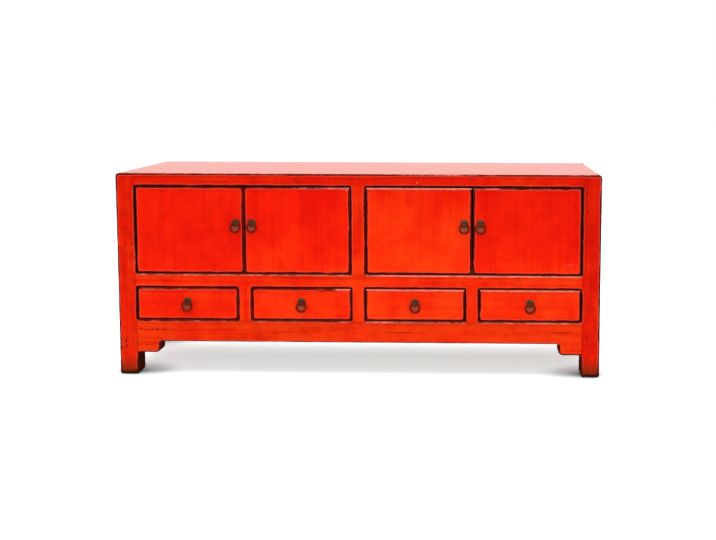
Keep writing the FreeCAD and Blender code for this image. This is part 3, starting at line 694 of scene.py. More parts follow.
@shader_group("Streaks", "Pores", Place=ORIGIN, Stretch=STRETCH[Z])
def grain_streaks(nodes, source):
    """Streaks and pores that run along the grain."""
    drawn = nodes.vector("MULTIPLY", source["Place"], source["Stretch"])[0]
    return nodes.grains(drawn, 1.0, 4.0, 0.6), nodes.grains(drawn, 5.5, 2.0, 0.6)


@shader_group("Patches", "Clouds", "Specks", Place=ORIGIN)
def mottled_lacquer(nodes, source):
    """Broad patches, smaller clouds and rare specks."""
    place = source["Place"]
    speck = nodes.fade(nodes.grains(place, 210.0, 2.0, 0.5), 0.70, 0.76)
    specks = nodes.times(speck, nodes.fade(nodes.grains(place, 9.0, 1.0, 0.5), 0.50, 0.62))
    return nodes.grains(place, 6.5, 3.0, 0.6), nodes.grains(place, 24.0, 4.0, 0.65), specks


@shader_group("Worn", "Rubbed", Closeness=0.0, Place=ORIGIN, Width=WORN_WIDTH)
def worn_arris(nodes, source):
    """Dark ground along worn arrises, and lacquer rubbed thin beside them, from their closeness."""
    width = source["Width"]
    distance = nodes.times(nodes.rest(source["Closeness"]), WEAR_REACH * 1000.0)
    torn = nodes.plus(distance, nodes.swing(nodes.grains(source["Place"], 30.0, 3.0, 0.6), 7.0, 0.52))
    worn = nodes.fade(torn, width, nodes.times(width, WORN_CORE))
    return worn, nodes.fade(torn, nodes.times(width, RUBBED_REACH), 0.0)


@shader_group("Stain", "Dirt", Place=ORIGIN)
def foot_dirt(nodes, source):
    """Stain above the feet, and dirt and lost lacquer at the floor."""
    height = nodes.add("ShaderNodeSeparateXYZ", {0: source["Place"]})["Z"]
    uneven = nodes.grains(source["Place"], 60.0)
    stain = nodes.fade(nodes.plus(height, nodes.swing(uneven, 0.030)), *STAIN_HEIGHTS)
    return stain, nodes.fade(nodes.plus(height, nodes.swing(uneven, 0.018)), *DIRT_HEIGHTS)


@shader_group("Dark", "Light", Place=ORIGIN)
def old_marks(nodes, source):
    """Old nicks and scratches at given places on the front."""
    ragged = nodes.swing(nodes.grains(source["Place"], 240.0, 3.0, 0.6), MARK_RAGGED)

    def mark(across, up, length, height):
        """One mark with a ragged rim."""
        aside = nodes.vector("SUBTRACT", source["Place"], (across, FRONT, up))[0]
        scaled = nodes.vector("MULTIPLY", aside, (1.0 / length, 1.0 / MARK_DEPTH, 1.0 / height))[0]
        return nodes.fade(nodes.plus(nodes.vector("LENGTH", scaled)["Value"], ragged), *MARK_RIM)

    return [nodes.most(*(mark(*entry) for entry in marks)) for marks in (DARK_MARKS, LIGHT_MARKS)]


def opaque(colour):
    """A colour with full alpha."""
    return (*colour, 1.0)


def paints(context):
    """The colours of the finish by their names."""
    colours = context.scene.cabinet_finish
    return {name: opaque(getattr(colours, name)) for name in CabinetFinish.__annotations__}


def fresh_material(name):
    """A new material with its nodes, its shader's inputs and the place on the object."""
    material = bpy.data.materials.new(name)
    material.use_nodes = True
    nodes = Nodes(material.node_tree)
    shader = material.node_tree.nodes["Principled BSDF"].inputs
    return material, nodes, shader, nodes.add("ShaderNodeTexCoord")["Object"]


def aged_colour(nodes, paint, grain, mottle):
    """The lacquer's colour before it wore, from crimson to orange."""
    swings = nodes.plus(
        nodes.swing(mottle["Patches"], 1.5),
        nodes.swing(mottle["Clouds"], 0.7),
        nodes.times(nodes.swing(grain["Streaks"], 1.2), nodes.field("age")))
    level = nodes.calc("ADD", nodes.field("tone"), swings, clamp=True)
    colour = nodes.add("ShaderNodeValToRGB", {"Fac": level})["Color"]
    stops = colour.node.color_ramp.elements
    stops[0].color = paint["crimson"]
    stops[1].color = paint["orange"]
    stops.new(0.5).color = paint["vermilion"]
    return colour


def lacquer(context, axis, polished=False):
    """Vermilion lacquer over wood whose grain runs along an axis; the top's is polished smooth."""
    name = f"lacquer_{AXIS_WORD[axis]}_polished" if polished else f"lacquer_{AXIS_WORD[axis]}"
    if name in bpy.data.materials:
        return bpy.data.materials[name]
    paint = paints(context)
    material, nodes, shader, place = fresh_material(name)
    grain = nodes.group(grain_streaks(), Place=place, Stretch=STRETCH[axis])
    mottle = nodes.group(mottled_lacquer(), Place=place)
    foot = nodes.group(foot_dirt(), Place=place)
    width = nodes.plus(nodes.times(foot["Stain"], FOOT_WIDTH), WORN_WIDTH)
    wear = nodes.group(worn_arris(), Closeness=nodes.field("arris"), Place=place, Width=width)
    marks = nodes.group(old_marks(), Place=place)
    grime, below = nodes.field("grime"), nodes.field("below")

    darker = nodes.times(
        nodes.fade(grain["Pores"], 0.52, 0.80, 1.0, 0.80),
        nodes.fade(mottle["Clouds"], 0.25, 0.60, 0.88, 1.0),
        nodes.fade(grain["Streaks"], 0.28, 0.52, 0.84, 1.0))
    shade = nodes.rest(nodes.times(nodes.rest(darker), nodes.field("age")))
    if polished:
        # The top's colour is a darker copy of the lacquer, painted shade for the strong light from above.
        painted = paint["faded"][:3]
    else:
        painted = aged_colour(nodes, paint, grain, mottle)
        # Painted shade: the piece's shade field, and a painted shadow that darkens the lacquer just below the
        # head.
        shade = nodes.times(shade, nodes.field("shade"), nodes.fade(below, 0.0, HEAD_SHADOW_DEPTH, 0.78, 1.0))
    colour = nodes.add("ShaderNodeVectorMath", {0: painted, "Scale": shade}, operation="SCALE")[0]

    from_pull = nodes.vector("MULTIPLY", nodes.field("from_pull", "Vector"), (1.0, 0.0, 1.0))[0]
    from_ring = nodes.vector("LENGTH", from_pull)["Value"]
    # Painted shade in the gaps and on inner faces takes the worn arris's dark colour, together with the real
    # wear.
    worn = nodes.most(grime, wear["Worn"])
    layers = [
        (nodes.fade(from_ring, *RING_RADII, 0.0, 0.55), "dull"),
        # A band beside the arrises: lacquer rubbed thin, with a painted sheen of the rounded arris.
        (nodes.times(wear["Rubbed"], 0.58), "rubbed"),
        (nodes.most(nodes.times(mottle["Specks"], 0.5), nodes.times(marks["Dark"], 0.7)), "worn"),
        (nodes.times(foot["Stain"], 0.9), "stain"),
        (worn, "worn"),
        # The deepest painted shade, on inner faces, also takes the dirt colour, with the real dirt at the
        # feet.
        (nodes.most(nodes.fade(grime, 0.5, 1.0, 0.0, 0.6), foot["Dirt"]), "dirt"),
    ]
    # A painted highlight along the upper arrises, where light from above would catch them, merged with real
    # light chips.
    if not polished:
        broken = nodes.times(nodes.grains(place, 26.0, 4.0, 0.7), 0.9)
        crest = nodes.fade(nodes.calc("SUBTRACT", nodes.field("crest"), broken), -0.10, 0.30)
        torn = nodes.plus(below, nodes.swing(nodes.grains(place, 70.0, 3.0, 0.6), 0.006))
        crest = nodes.times(crest, nodes.fade(torn, *HIGHLIGHT_DEPTHS))
        layers.append((nodes.most(crest, nodes.times(marks["Light"], 0.5)), "light"))
    for share, tint in layers:
        colour = nodes.blend(share, colour, paint[tint])
    nodes.feed(shader["Base Color"], colour)

    least = POLISHED_ROUGHNESS if polished else LACQUER_ROUGHNESS
    rough = nodes.plus(nodes.times(mottle["Clouds"], 0.20), least)
    nodes.feed(shader["Roughness"], nodes.calc("ADD", rough, nodes.times(worn, 0.75), clamp=True))
    nodes.feed(shader["IOR"], POLISHED_IOR if polished else LACQUER_IOR)
    if not polished:
        shares = ((grain["Streaks"], 0.5), (mottle["Clouds"], 0.6), (wear["Worn"], -0.35))
        relief = nodes.plus(*(nodes.times(*share) for share in shares))
        nodes.feed(shader["Normal"], nodes.bump(relief, 0.10, 0.0012))
    return material


def bare_wood(context, axis, soiled=False):
    """Bare brown wood whose grain runs along an axis; the pivot pins' is soiled dark."""
    name = f"soiled_wood_{AXIS_WORD[axis]}" if soiled else f"bare_wood_{AXIS_WORD[axis]}"
    if name in bpy.data.materials:
        return bpy.data.materials[name]
    paint = paints(context)
    material, nodes, shader, place = fresh_material(name)
    grain = nodes.group(grain_streaks(), Place=place, Stretch=STRETCH[axis])
    mottle = nodes.group(mottled_lacquer(), Place=place)
    lines = nodes.plus(nodes.times(grain["Streaks"], 1.4), nodes.times(mottle["Patches"], 0.5))
    pores = nodes.fade(grain["Pores"], 0.56, 0.70, 0.0, 0.55)
    colour, dark = (paint["worn"], paint["dirt"]) if soiled else (paint["wood_light"], paint["wood_dark"])
    # The field of painted shade and grime darkens the wood: painted shade near gaps, a darker tone on the
    # boards behind.
    for share in (nodes.fade(lines, 0.65, 1.25), pores, nodes.field("grime")):
        colour = nodes.blend(share, colour, dark)
    nodes.feed(shader["Base Color"], colour)
    nodes.feed(shader["Roughness"], nodes.plus(nodes.times(mottle["Clouds"], 0.2), WOOD_ROUGHNESS))
    if soiled:
        nodes.feed(shader["IOR"], LACQUER_IOR)
    relief = nodes.plus(grain["Streaks"], nodes.times(grain["Pores"], -0.6))
    nodes.feed(shader["Normal"], nodes.bump(relief, 0.3, 0.001))
    return material


def bronze(name, first, second):
    """Dark hand-worked bronze of two colours."""
    material, nodes, shader, place = fresh_material(name)
    bloom = nodes.grains(place, 120.0, 4.0, 0.65)
    beaten = nodes.grains(place, 260.0, 2.0, 0.5)
    nodes.feed(shader["Base Color"], nodes.blend(nodes.fade(bloom, 0.40, 0.64, 0.0, 0.8), first, second))
    nodes.feed(shader["Roughness"], nodes.fade(bloom, 0.3, 0.7, 0.32, 0.55))
    nodes.feed(shader["Metallic"], nodes.fade(bloom, 0.45, 0.75, 0.90, 0.70))
    nodes.feed(shader["IOR"], METAL_IOR)
    nodes.feed(shader["Normal"], nodes.bump(beaten, 0.35, 0.0008))
    return material


def middle(node):
    """The middle of a CAD node's box."""
    low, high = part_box(node)
    return tuple((low + high) / 2)


def dress(node, material, across=None):
    """Gives a CAD node its finish, which may differ on faces that look along the depth; its shape stays."""
    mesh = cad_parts[node].data
    mesh.materials.clear()
    mesh.materials.append(material)
    mesh.materials.append(across or material)
    for face in mesh.polygons:
        face.material_index = int(abs(face.normal.y) > FLAT)


class CABINET_OT_legs(bpy.types.Operator):
    """Four square legs, rounded at the top of the ends and worn at the foot"""

    bl_idname = "cabinet.legs"
    bl_label = "Legs"

    # Tone and painted shade at foot and head: the tone rising towards the foot paints in the floor's
    # reflection, and the shade paints the head darker.
    TONES = {"left": (0.50, 0.36), "right": (0.36, 0.24)}
    SHADES = {"left": (0.90, 0.84), "right": (0.87, 0.79)}

    def execute(self, context):
        work = context.scene.cabinet_work
        upright, top = lacquer(context, Z), lacquer(context, X, polished=True)
        back_legs = Joinery()
        for side, word in zip(SIDES, ("left", "right")):
            leg = Joinery()
            self.add_leg(leg, work, side, FRONT, FRONT_LEG_BACK, BED_Y[0])
            finish = Finish(upright, self.TONES[word], self.SHADES[word], crest=PLAIN_HEAD, top=top)
            make_piece(context, f"{word}_leg", f"front_{word}_leg", leg, finish)
            self.add_leg(back_legs, work, side, BACK, REAR_LEG_FRONT, BED_Y[1])
        finish = Finish(upright, self.TONES["right"], self.SHADES["right"], top=top)
        make_piece(context, "back_legs", "rear_legs", back_legs, finish)
        return {"FINISHED"}

    def add_leg(self, legs, work, side, face, inner, bed):
        """One leg, with its head cut round the boards of the top."""
        outer, near, bed_x = side * HALF_WIDTH, side * LEG_INNER, side * BED_X[1]
        is_front = face < inner
        in_x, in_y = -side, 1 if is_front else -1
        joints = [(DOOR_HEAD, TOP), (BRACKET_FOOT if is_front else RAIL_FOOT, DRAWER_SILL)]
        if is_front:
            joints.append((DRAWER_HEAD, DOOR_SILL))
        end_joints = [(DOOR_HEAD, TOP), (APRON_FOOT, DRAWER_SILL)]
        shaded_and_grimy = {(X, in_x): INNER_SHADE, (Y, in_y): INNER_SHADE}
        foot_x, foot_y = in_x * work.foot_ease, in_y * work.foot_ease
        add_board(legs, Z, (FLOOR, BED_FLOOR), [
            Corner(outer, face, work.leg_ease, (foot_x, foot_y)),
            Corner(near, face, Ease(work.opening_ease, joints), (-foot_x, foot_y)),
            Corner(near, inner, EXPOSED_EASE, (-foot_x, -foot_y)),
            Corner(outer, inner, Ease(work.opening_ease, end_joints), (foot_x, -foot_y)),
        ], shaded_and_grimy)
        head_x, head_y = in_x * work.end_ease, in_y * work.top_ease
        add_board(legs, Z, (BED_FLOOR, TOP), [
            Corner(outer, face, work.leg_ease, high=(head_x, head_y)),
            Corner(near, face, CRISP, high=(0.0, head_y)),
            Corner(near, bed),
            Corner(bed_x, bed),
            Corner(bed_x, inner),
            Corner(outer, inner, CRISP, high=(head_x, 0.0)),
        ], shaded_and_grimy)


class CABINET_OT_rails(bpy.types.Operator):
    """The rails of the front frame, of the two ends and behind"""

    bl_idname = "cabinet.rails"
    bl_label = "Rails"

    BACK_TONE = {(Y, 1): 0.36, UNDER: 0.36}

    def execute(self, context):
        work = context.scene.cabinet_work
        level, bare = lacquer(context, X), bare_wood(context, X)
        top = lacquer(context, X, polished=True)
        by_doors = Ease(work.opening_ease, LEGS_ACROSS + [STILE])
        by_drawers = Ease(work.opening_ease, LEGS_ACROSS + DIVIDERS)

        head = Joinery()
        section = self.head_section(FRONT, RAIL_BACK, BED_Y[0], by_doors, work.top_ease, FACE_JOINT[:2])
        add_board(head, X, RAIL_RUN, section, {UNDER: GAP_SHADE})
        finish = Finish(level, tone=0.46, shade=0.86, crest=TOP_HIGHLIGHT, back=bare, top=top)
        make_piece(context, "head_rail", "top_front_rail", head, finish)

        waist = Joinery()
        eases = (by_drawers, CRISP, CRISP, by_doors)
        section = block((FRONT, RAIL_BACK), (DRAWER_HEAD, DOOR_SILL), eases, FACE_JOINT)
        add_board(waist, X, RAIL_RUN, section, {UNDER: GAP_SHADE, OVER: GAP_SHADE})
        finish = Finish(level, tone=0.70, crest=crest_between(WAIST_HIGHLIGHT, [STILE]), back=bare)
        make_piece(context, "waist_rail", "middle_rail", waist, finish)

        foot = Joinery()
        eases = (work.seam_ease, CRISP, CRISP, by_drawers)
        section = block((FRONT, RAIL_BACK), (RAIL_FOOT, DRAWER_SILL), eases, FACE_JOINT)
        add_board(foot, X, RAIL_RUN, section, {OVER: GAP_SHADE})
        finish = Finish(level, tone=0.90, shade=0.90, crest=crest_between(FOOT_HIGHLIGHT, DIVIDERS), back=bare)
        make_piece(context, "foot_rail", "bottom_rail", foot, finish)
        self.make_end_rails(context, work)
        self.make_back_rails(context, work, bare, top)
        return {"FINISHED"}

    def head_section(self, face, back, bed, low, high, joint=(0.0, 0.0)):
        """The section of a rail under the top, cut round the boards of the top."""
        return [
            Corner(face, DOOR_HEAD, low, joint, joint),
            Corner(back, DOOR_HEAD, CRISP),
            Corner(back, BED_FLOOR),
            Corner(bed, BED_FLOOR),
            Corner(bed, TOP, CRISP),
            Corner(face, TOP, high, joint, joint),
        ]

    def make_end_rails(self, context, work):
        """Rails over and under the panel at each end."""
        top = lacquer(context, Y, polished=True)
        finish = Finish(lacquer(context, Y), tone=0.40, shade=0.92, top=top)
        worn = Ease(work.opening_ease, LEGS_DEEP)
        head, foot = Joinery(), Joinery()
        for side in SIDES:
            outer, bed = side * HALF_WIDTH, side * BED_X[1]
            inner = side * (HALF_WIDTH - work.end_rail_depth)
            section = self.head_section(outer, inner, bed, worn, work.end_ease)
            add_board(head, Y, END_RUN, [Corner(corner.b, corner.a, corner.ease) for corner in section])
            eases = (CRISP, CRISP, worn, work.seam_ease)
            add_board(foot, Y, END_RUN, block((RAIL_FOOT, DRAWER_SILL), (inner, outer), eases))
        make_piece(context, "end_head_rails", "top_end_rails", head, finish)
        make_piece(context, "end_foot_rails", "end_rails", foot, finish)

    def make_back_rails(self, context, work, bare, top):
        """Bare rails behind, the upper one lacquered with the top."""
        inner = BACK - (RAIL_BACK - FRONT)
        rails = Joinery()
        sections = [self.head_section(BACK, inner, BED_Y[1], JOINT_EASE, work.top_ease)]
        eases, joint = (CRISP, JOINT_EASE, JOINT_EASE, CRISP), (0.0, JOINT_EASE, 0.0, 0.0)
        for z in ((DRAWER_HEAD, DOOR_SILL), (RAIL_FOOT, DRAWER_SILL)):
            sections.append(block((inner, BACK), z, eases, joint))
        for section in sections:
            add_board(rails, X, RAIL_RUN, section, self.BACK_TONE)
        finish = Finish(bare, tone=0.50, top=top, slot="inner_wood")
        make_piece(context, "back_rails", "rear_rails", rails, finish)


class CABINET_OT_posts(bpy.types.Operator):
    """The stile between the two pairs of doors and the posts between the drawers"""

    bl_idname = "cabinet.posts"
    bl_label = "Stile and posts"

    def execute(self, context):
        upright, bare = lacquer(context, Z), bare_wood(context, Z)
        stile = self.make_posts(context, [STILE], (DOOR_SILL, DOOR_HEAD))
        finish = Finish(upright, tone=(0.75, 0.68), shade=0.96, back=bare)
        make_piece(context, "door_stile", "centre_stile", stile, finish)
        posts = self.make_posts(context, DIVIDERS, (DRAWER_SILL, DRAWER_HEAD))
        make_piece(context, "drawer_posts", "drawer_dividers", posts, Finish(upright, tone=0.78, back=bare))
        return {"FINISHED"}

    def make_posts(self, context, places, z):
        """Uprights between the openings of one row."""
        posts = Joinery()
        worn = Ease(context.scene.cabinet_work.opening_ease, [(z[0], z[0]), (z[1], z[1])])
        for x in places:
            section = block(x, (FRONT, RAIL_BACK), (worn, worn, CRISP, CRISP), (0.0, 0.0, JOINT_EASE, 0.0))
            add_board(posts, Z, z, section, {LEFT: GAP_SHADE, RIGHT: GAP_SHADE})
        return posts


class CABINET_OT_aprons(bpy.types.Operator):
    """The front apron with its two brackets, and the aprons at the ends"""

    bl_idname = "cabinet.aprons"
    bl_label = "Aprons"

    def execute(self, context):
        work = context.scene.cabinet_work
        ease = work.opening_ease
        bracket = LEG_INNER - work.bracket_length
        front, ends = Joinery(), Joinery()
        lower = Ease(ease, [(-LEG_INNER, -bracket), (bracket, LEG_INNER)])
        eases = (lower, lower, CRISP, work.seam_ease)
        section = block((FRONT, APRON_BACK), (APRON_FOOT, RAIL_FOOT), eases, FACE_JOINT)
        add_board(front, X, RAIL_RUN, section, {UNDER: INNER_SHADE})
        worn = Ease(work.bracket_ease, [(APRON_FOOT, RAIL_FOOT)])
        lower = Ease(ease, LEGS_DEEP)
        for side in SIDES:
            tip, leg, rounded = side * bracket, side * LEG_INNER, side * work.bracket_round
            add_board(front, Z, (BRACKET_FOOT, APRON_FOOT), [
                Corner(tip, FRONT, worn, (rounded, work.bracket_ease)),
                Corner(leg, FRONT, CRISP, (0.0, work.bracket_ease)),
                Corner(leg, APRON_BACK, CRISP, (0.0, -ease)),
                Corner(tip, APRON_BACK, worn, (rounded, -ease)),
            ], {(X, -side): INNER_SHADE, UNDER: INNER_SHADE})
            x = (side * (HALF_WIDTH - work.end_apron_depth), side * HALF_WIDTH)
            section = block((APRON_FOOT, RAIL_FOOT), x, (lower, CRISP, work.seam_ease, lower))
            add_board(ends, Y, END_RUN, section, {(X, -side): INNER_SHADE})
        soiled = bare_wood(context, X, soiled=True)
        finish = Finish(lacquer(context, X), tone=0.85, shade=0.93, back=soiled)
        make_piece(context, "apron", "front_apron", front, finish)
        finish = Finish(lacquer(context, Y), tone=0.50, shade=0.92)
        make_piece(context, "end_apron_boards", "end_aprons", ends, finish)
        return {"FINISHED"}


class CABINET_OT_top(bpy.types.Operator):
    """The boards of the top and the panels at the ends"""

    bl_idname = "cabinet.top"
    bl_label = "Top and end panels"

    BOARDS = 3
    SEAM_SHARE = 0.6

    def execute(self, context):
        work = context.scene.cabinet_work
        seam = work.seam_ease * self.SEAM_SHARE
        seams = [CRISP] + [seam] * (self.BOARDS - 1) + [CRISP]
        edges = np.linspace(*BED_Y, self.BOARDS + 1)
        boards = Joinery()
        for y, (front, back) in zip(zip(edges, edges[1:]), zip(seams, seams[1:])):
            add_board(boards, X, BED_X, block(y, (BED_FLOOR, TOP), (CRISP, CRISP, back, front)))
        finish = Finish(lacquer(context, X), tone=0.90, top=lacquer(context, X, polished=True))
        make_piece(context, "top_planks", "top_boards", boards, finish)

        x, y, z = (span("end_panels", axis) for axis in (X, Y, Z))
        panels = Joinery()
        for panel in ((x[1] - work.panel_depth, x[1]), (-x[1], work.panel_depth - x[1])):
            add_board(panels, Z, z, block(panel, y, (CRISP,) * 4))
        bare = bare_wood(context, Z)
        finish = Finish(lacquer(context, Z), tone=(0.50, 0.30), shade=0.94, back=bare, inward=X)
        make_piece(context, "end_boards", "end_panels", panels, finish)
        return {"FINISHED"}


class CABINET_OT_back(bpy.types.Operator):
    """The planks of the two panels behind"""

    bl_idname = "cabinet.back"
    bl_label = "Back panels"

    TONES = (0.16, 0.0, 0.10, 0.22, 0.05)

    def execute(self, context):
        x, y, z = (span("back_panels", axis) for axis in (X, Y, Z))
        groove = DRAWER_SILL - z[0]
        eases = (context.scene.cabinet_work.plank_ease,) * 4
        tones = iter(self.TONES)
        planks = Joinery()
        for low, high, count in ((DRAWER_SILL, DRAWER_HEAD, 2), (DOOR_SILL, DOOR_HEAD, 3)):
            edges = np.linspace(low, high, count + 1)
            edges[0] -= groove
            edges[-1] += groove
            for plank, tone in zip(zip(edges, edges[1:]), tones):
                add_board(planks, X, x, block(y, plank, eases), {(Y, -1): tone, (Y, 1): tone})
        finish = Finish(bare_wood(context, X), tone=0.50, slot="inner_wood")
        make_piece(context, "back_planks", "back_panels", planks, finish)
        return {"FINISHED"}


class CABINET_OT_doors(bpy.types.Operator):
    """Four flush door leaves"""

    bl_idname = "cabinet.doors"
    bl_label = "Doors"

    # Tone and painted shade at foot and head of each door: the tone rising towards the foot paints in the
    # floor's reflection, and the shade paints some heads darker.
    TONES = {"door_1": (0.38, 0.32), "door_2": (0.66, 0.10), "door_3": (0.92, 0.55), "door_4": (0.56, 0.06)}
    SHADES = {"door_1": 1.0, "door_2": 1.0, "door_3": (1.0, 0.93), "door_4": (1.0, 0.95)}
    CRESTS = {
        "door_1": ((0.0,), (0.05,)),
        "door_2": ((-0.34, -0.17, -0.03), (0.26, 0.46, 0.66)),
        "door_3": ((0.0,), (0.76,)),
        "door_4": ((0.36, 0.69), (0.52, 0.40)),
    }
    MEETING = {"door_1": 1.0, "door_2": 1.0, "door_3": 1.35, "door_4": 1.35}
    AGE = 0.4

    def execute(self, context):
        work = context.scene.cabinet_work
        upright, bare = lacquer(context, Z), bare_wood(context, Z)
        ends = (EDGE_EASE, EDGE_EASE, work.leaf_ease, EDGE_EASE)
        for number, door in enumerate(DOORS):
            node = f"{door}_leaf"
            eases = [work.leaf_ease, work.meeting_ease * self.MEETING[door]]
            if number % 2:
                eases.reverse()
            leaf = Joinery()
            section = block(span(node, X), span(node, Y), (*eases, EXPOSED_EASE, EXPOSED_EASE), ends)
            add_board(leaf, Z, span(node, Z), section, GAP_EDGES)
            finish = Finish(upright, self.TONES[door], self.SHADES[door], self.AGE, self.CRESTS[door], bare)
            make_piece(context, f"{door}_board", node, leaf, finish, door, middle(f"{door}_ring"))
            dress(f"{door}_battens", bare_wood(context, X))
            dress(f"{door}_pivots", bare_wood(context, Z, soiled=True))
        return {"FINISHED"}


class CABINET_OT_drawers(bpy.types.Operator):
    """Four flush drawer fronts, with the dovetails of their sides showing at the ends"""

    bl_idname = "cabinet.drawers"
    bl_label = "Drawers"

    TONES = {"drawer_1": 0.68, "drawer_2": 0.68, "drawer_3": 0.84, "drawer_4": 0.74}
    CRESTS = {
        "drawer_1": ((-0.69, -0.50, -0.38), (0.46, 0.34, 0.40)),
        "drawer_2": ((-0.33, -0.20, -0.09, -0.05), (0.36, 0.20, 0.24, 0.90)),
        "drawer_3": ((0.0,), (0.80,)),
        "drawer_4": ((0.37, 0.69), (0.74, 0.58)),
    }
    AGE = 0.5
    SOCKET_DEPTH = 0.0003

    def execute(self, context):
        ease = context.scene.cabinet_work.leaf_ease
        level, bare = lacquer(context, X), bare_wood(context, X)
        rounds, mirrored = (EDGE_EASE, ease), (-EDGE_EASE, ease)
        for drawer in DRAWERS:
            node = f"{drawer}_front"
            (left, right), (face, back), z = (span(node, axis) for axis in (X, Y, Z))
            lap = face + LAP
            board = Joinery()
            add_board(board, Z, z, [
                Corner(left, face, ease, rounds, rounds),
                Corner(right, face, ease, mirrored, mirrored),
                Corner(right, lap),
                Corner(right - self.SOCKET_DEPTH, lap),
                Corner(right - self.SOCKET_DEPTH, back, CRISP),
                Corner(left + self.SOCKET_DEPTH, back, CRISP),
                Corner(left + self.SOCKET_DEPTH, lap),
                Corner(left, lap),
            ], GAP_EDGES)
            finish = Finish(level, self.TONES[drawer], age=self.AGE, crest=self.CRESTS[drawer], back=bare)
            make_piece(context, f"{drawer}_board", node, board, finish, drawer, middle(f"{drawer}_ring"))
            dress(f"{drawer}_box", bare_wood(context, Y), bare)
            dress(f"{drawer}_bottom", bare)
        return {"FINISHED"}


class CABINET_OT_pulls(bpy.types.Operator):
    """Plates and eyes of the pulls, and a forged ring in each eye"""

    bl_idname = "cabinet.pulls"
    bl_label = "Ring pulls"

    BLOOM_SHARE = 0.6

    def execute(self, context):
        paint = paints(context)
        plate = bronze("plate_bronze", paint["plate"], paint["patina"])
        bloom = opaque(self.BLOOM_SHARE * part for part in paint["bronze"][:3])
        dark = bronze("ring_bronze", paint["bronze"], bloom)
        tree = ring_tree()
        for body in DOORS + DRAWERS:
            dress(f"{body}_pull", plate)
            self.make_ring(context, tree, dark, body)
        return {"FINISHED"}

    def make_ring(self, context, tree, metal, body):
        """One ring, from the tree of nodes, as a plain mesh."""
        node = f"{body}_ring"
        low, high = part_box(node)
        wire = (high.y - low.y) / 2
        carrier = add_object(context, f"{body}_ring_path", bpy.data.meshes.new(f"{body}_ring_path"))
        modifier = carrier.modifiers.new("ring", "NODES")
        modifier.node_group = tree
        settings = {
            "Centre": (low + high) / 2,
            "Ring Radius": (high.x - low.x) / 2 - wire,
            "Wire Radius": wire,
            "Seed": float(seed_of(body, 23)),
            "Metal": metal,
        }
        for item in tree.interface.items_tree:
            if item.item_type == "SOCKET" and item.in_out == "INPUT":
                modifier[item.identifier] = settings[item.name]
        context.view_layer.update()
        evaluated = carrier.evaluated_get(context.evaluated_depsgraph_get())
        mesh = bpy.data.meshes.new_from_object(evaluated)
        mesh.name = f"{body}_forged_ring"
        carrier.modifiers.remove(modifier)
        bpy.data.objects.remove(carrier)
        if not mesh.polygons:
            raise RuntimeError(f"the ring of {body} came out empty")
        ring = add_object(context, f"{body}_forged_ring", mesh)
        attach(ring, node)
        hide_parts(node)


def ring_tree():
    """A ring forged from round wire: thinner where it rubs in its eye, and slightly uneven."""
    tree = bpy.data.node_groups.new("forged_ring", "GeometryNodeTree")
    for label, kind in (
        ("Centre", "Vector"), ("Ring Radius", "Float"), ("Wire Radius", "Float"), ("Seed", "Float"),
        ("Metal", "Material"),
    ):
        tree.interface.new_socket(label, in_out="INPUT", socket_type=f"NodeSocket{kind}")
    tree.interface.new_socket("Ring", in_out="OUTPUT", socket_type="NodeSocketGeometry")
    nodes = Nodes(tree)
    source = nodes.add("NodeGroupInput")
    radius = source["Ring Radius"]
    path, wire = (
        nodes.add("GeometryNodeCurvePrimitiveCircle", {"Resolution": count, "Radius": entry})[0]
        for count, entry in ((72, radius), (18, source["Wire Radius"])))
    place = nodes.add("GeometryNodeInputPosition")[0]
    waves = {"Vector": place, "W": source["Seed"], "Scale": 130.0, "Detail": 1.0}
    uneven = nodes.add("ShaderNodeTexNoise", waves, noise_dimensions="4D")[0]
    height = nodes.calc("DIVIDE", nodes.add("ShaderNodeSeparateXYZ", {0: place})["Y"], radius)
    rubbed = nodes.fade(height, 0.86, 1.0, 0.0, 0.10)
    thick = nodes.calc("SUBTRACT", nodes.fade(uneven, 0.25, 0.75, 0.90, 1.0), rubbed)
    ring = nodes.add("GeometryNodeCurveToMesh", {"Curve": path, "Profile Curve": wire, "Scale": thick})[0]
    for kind, entries in (
        ("GeometryNodeTransform", {"Translation": source["Centre"], "Rotation": (math.pi / 2, 0.0, 0.0)}),
        ("GeometryNodeSetShadeSmooth", {}),
        ("GeometryNodeRealizeInstances", {}),
        ("GeometryNodeSetMaterial", {"Material": source["Metal"]}),
    ):
        ring = nodes.add(kind, {"Geometry": ring, **entries})[0]
    nodes.feed(tree.nodes.new("NodeGroupOutput").inputs["Ring"], ring)
    return tree


class CABINET_OT_inside(bpy.types.Operator):
    """Finishes of the boards inside the cabinet"""

    bl_idname = "cabinet.inside"
    bl_label = "Inside"

    GRAINS = {"cupboard_floor": X, "drawer_runners": Y, "top_battens": Y, "cupboard_partition": Z}

    def execute(self, context):
        for node, axis in self.GRAINS.items():
            dress(node, bare_wood(context, axis))
        return {"FINISHED"}


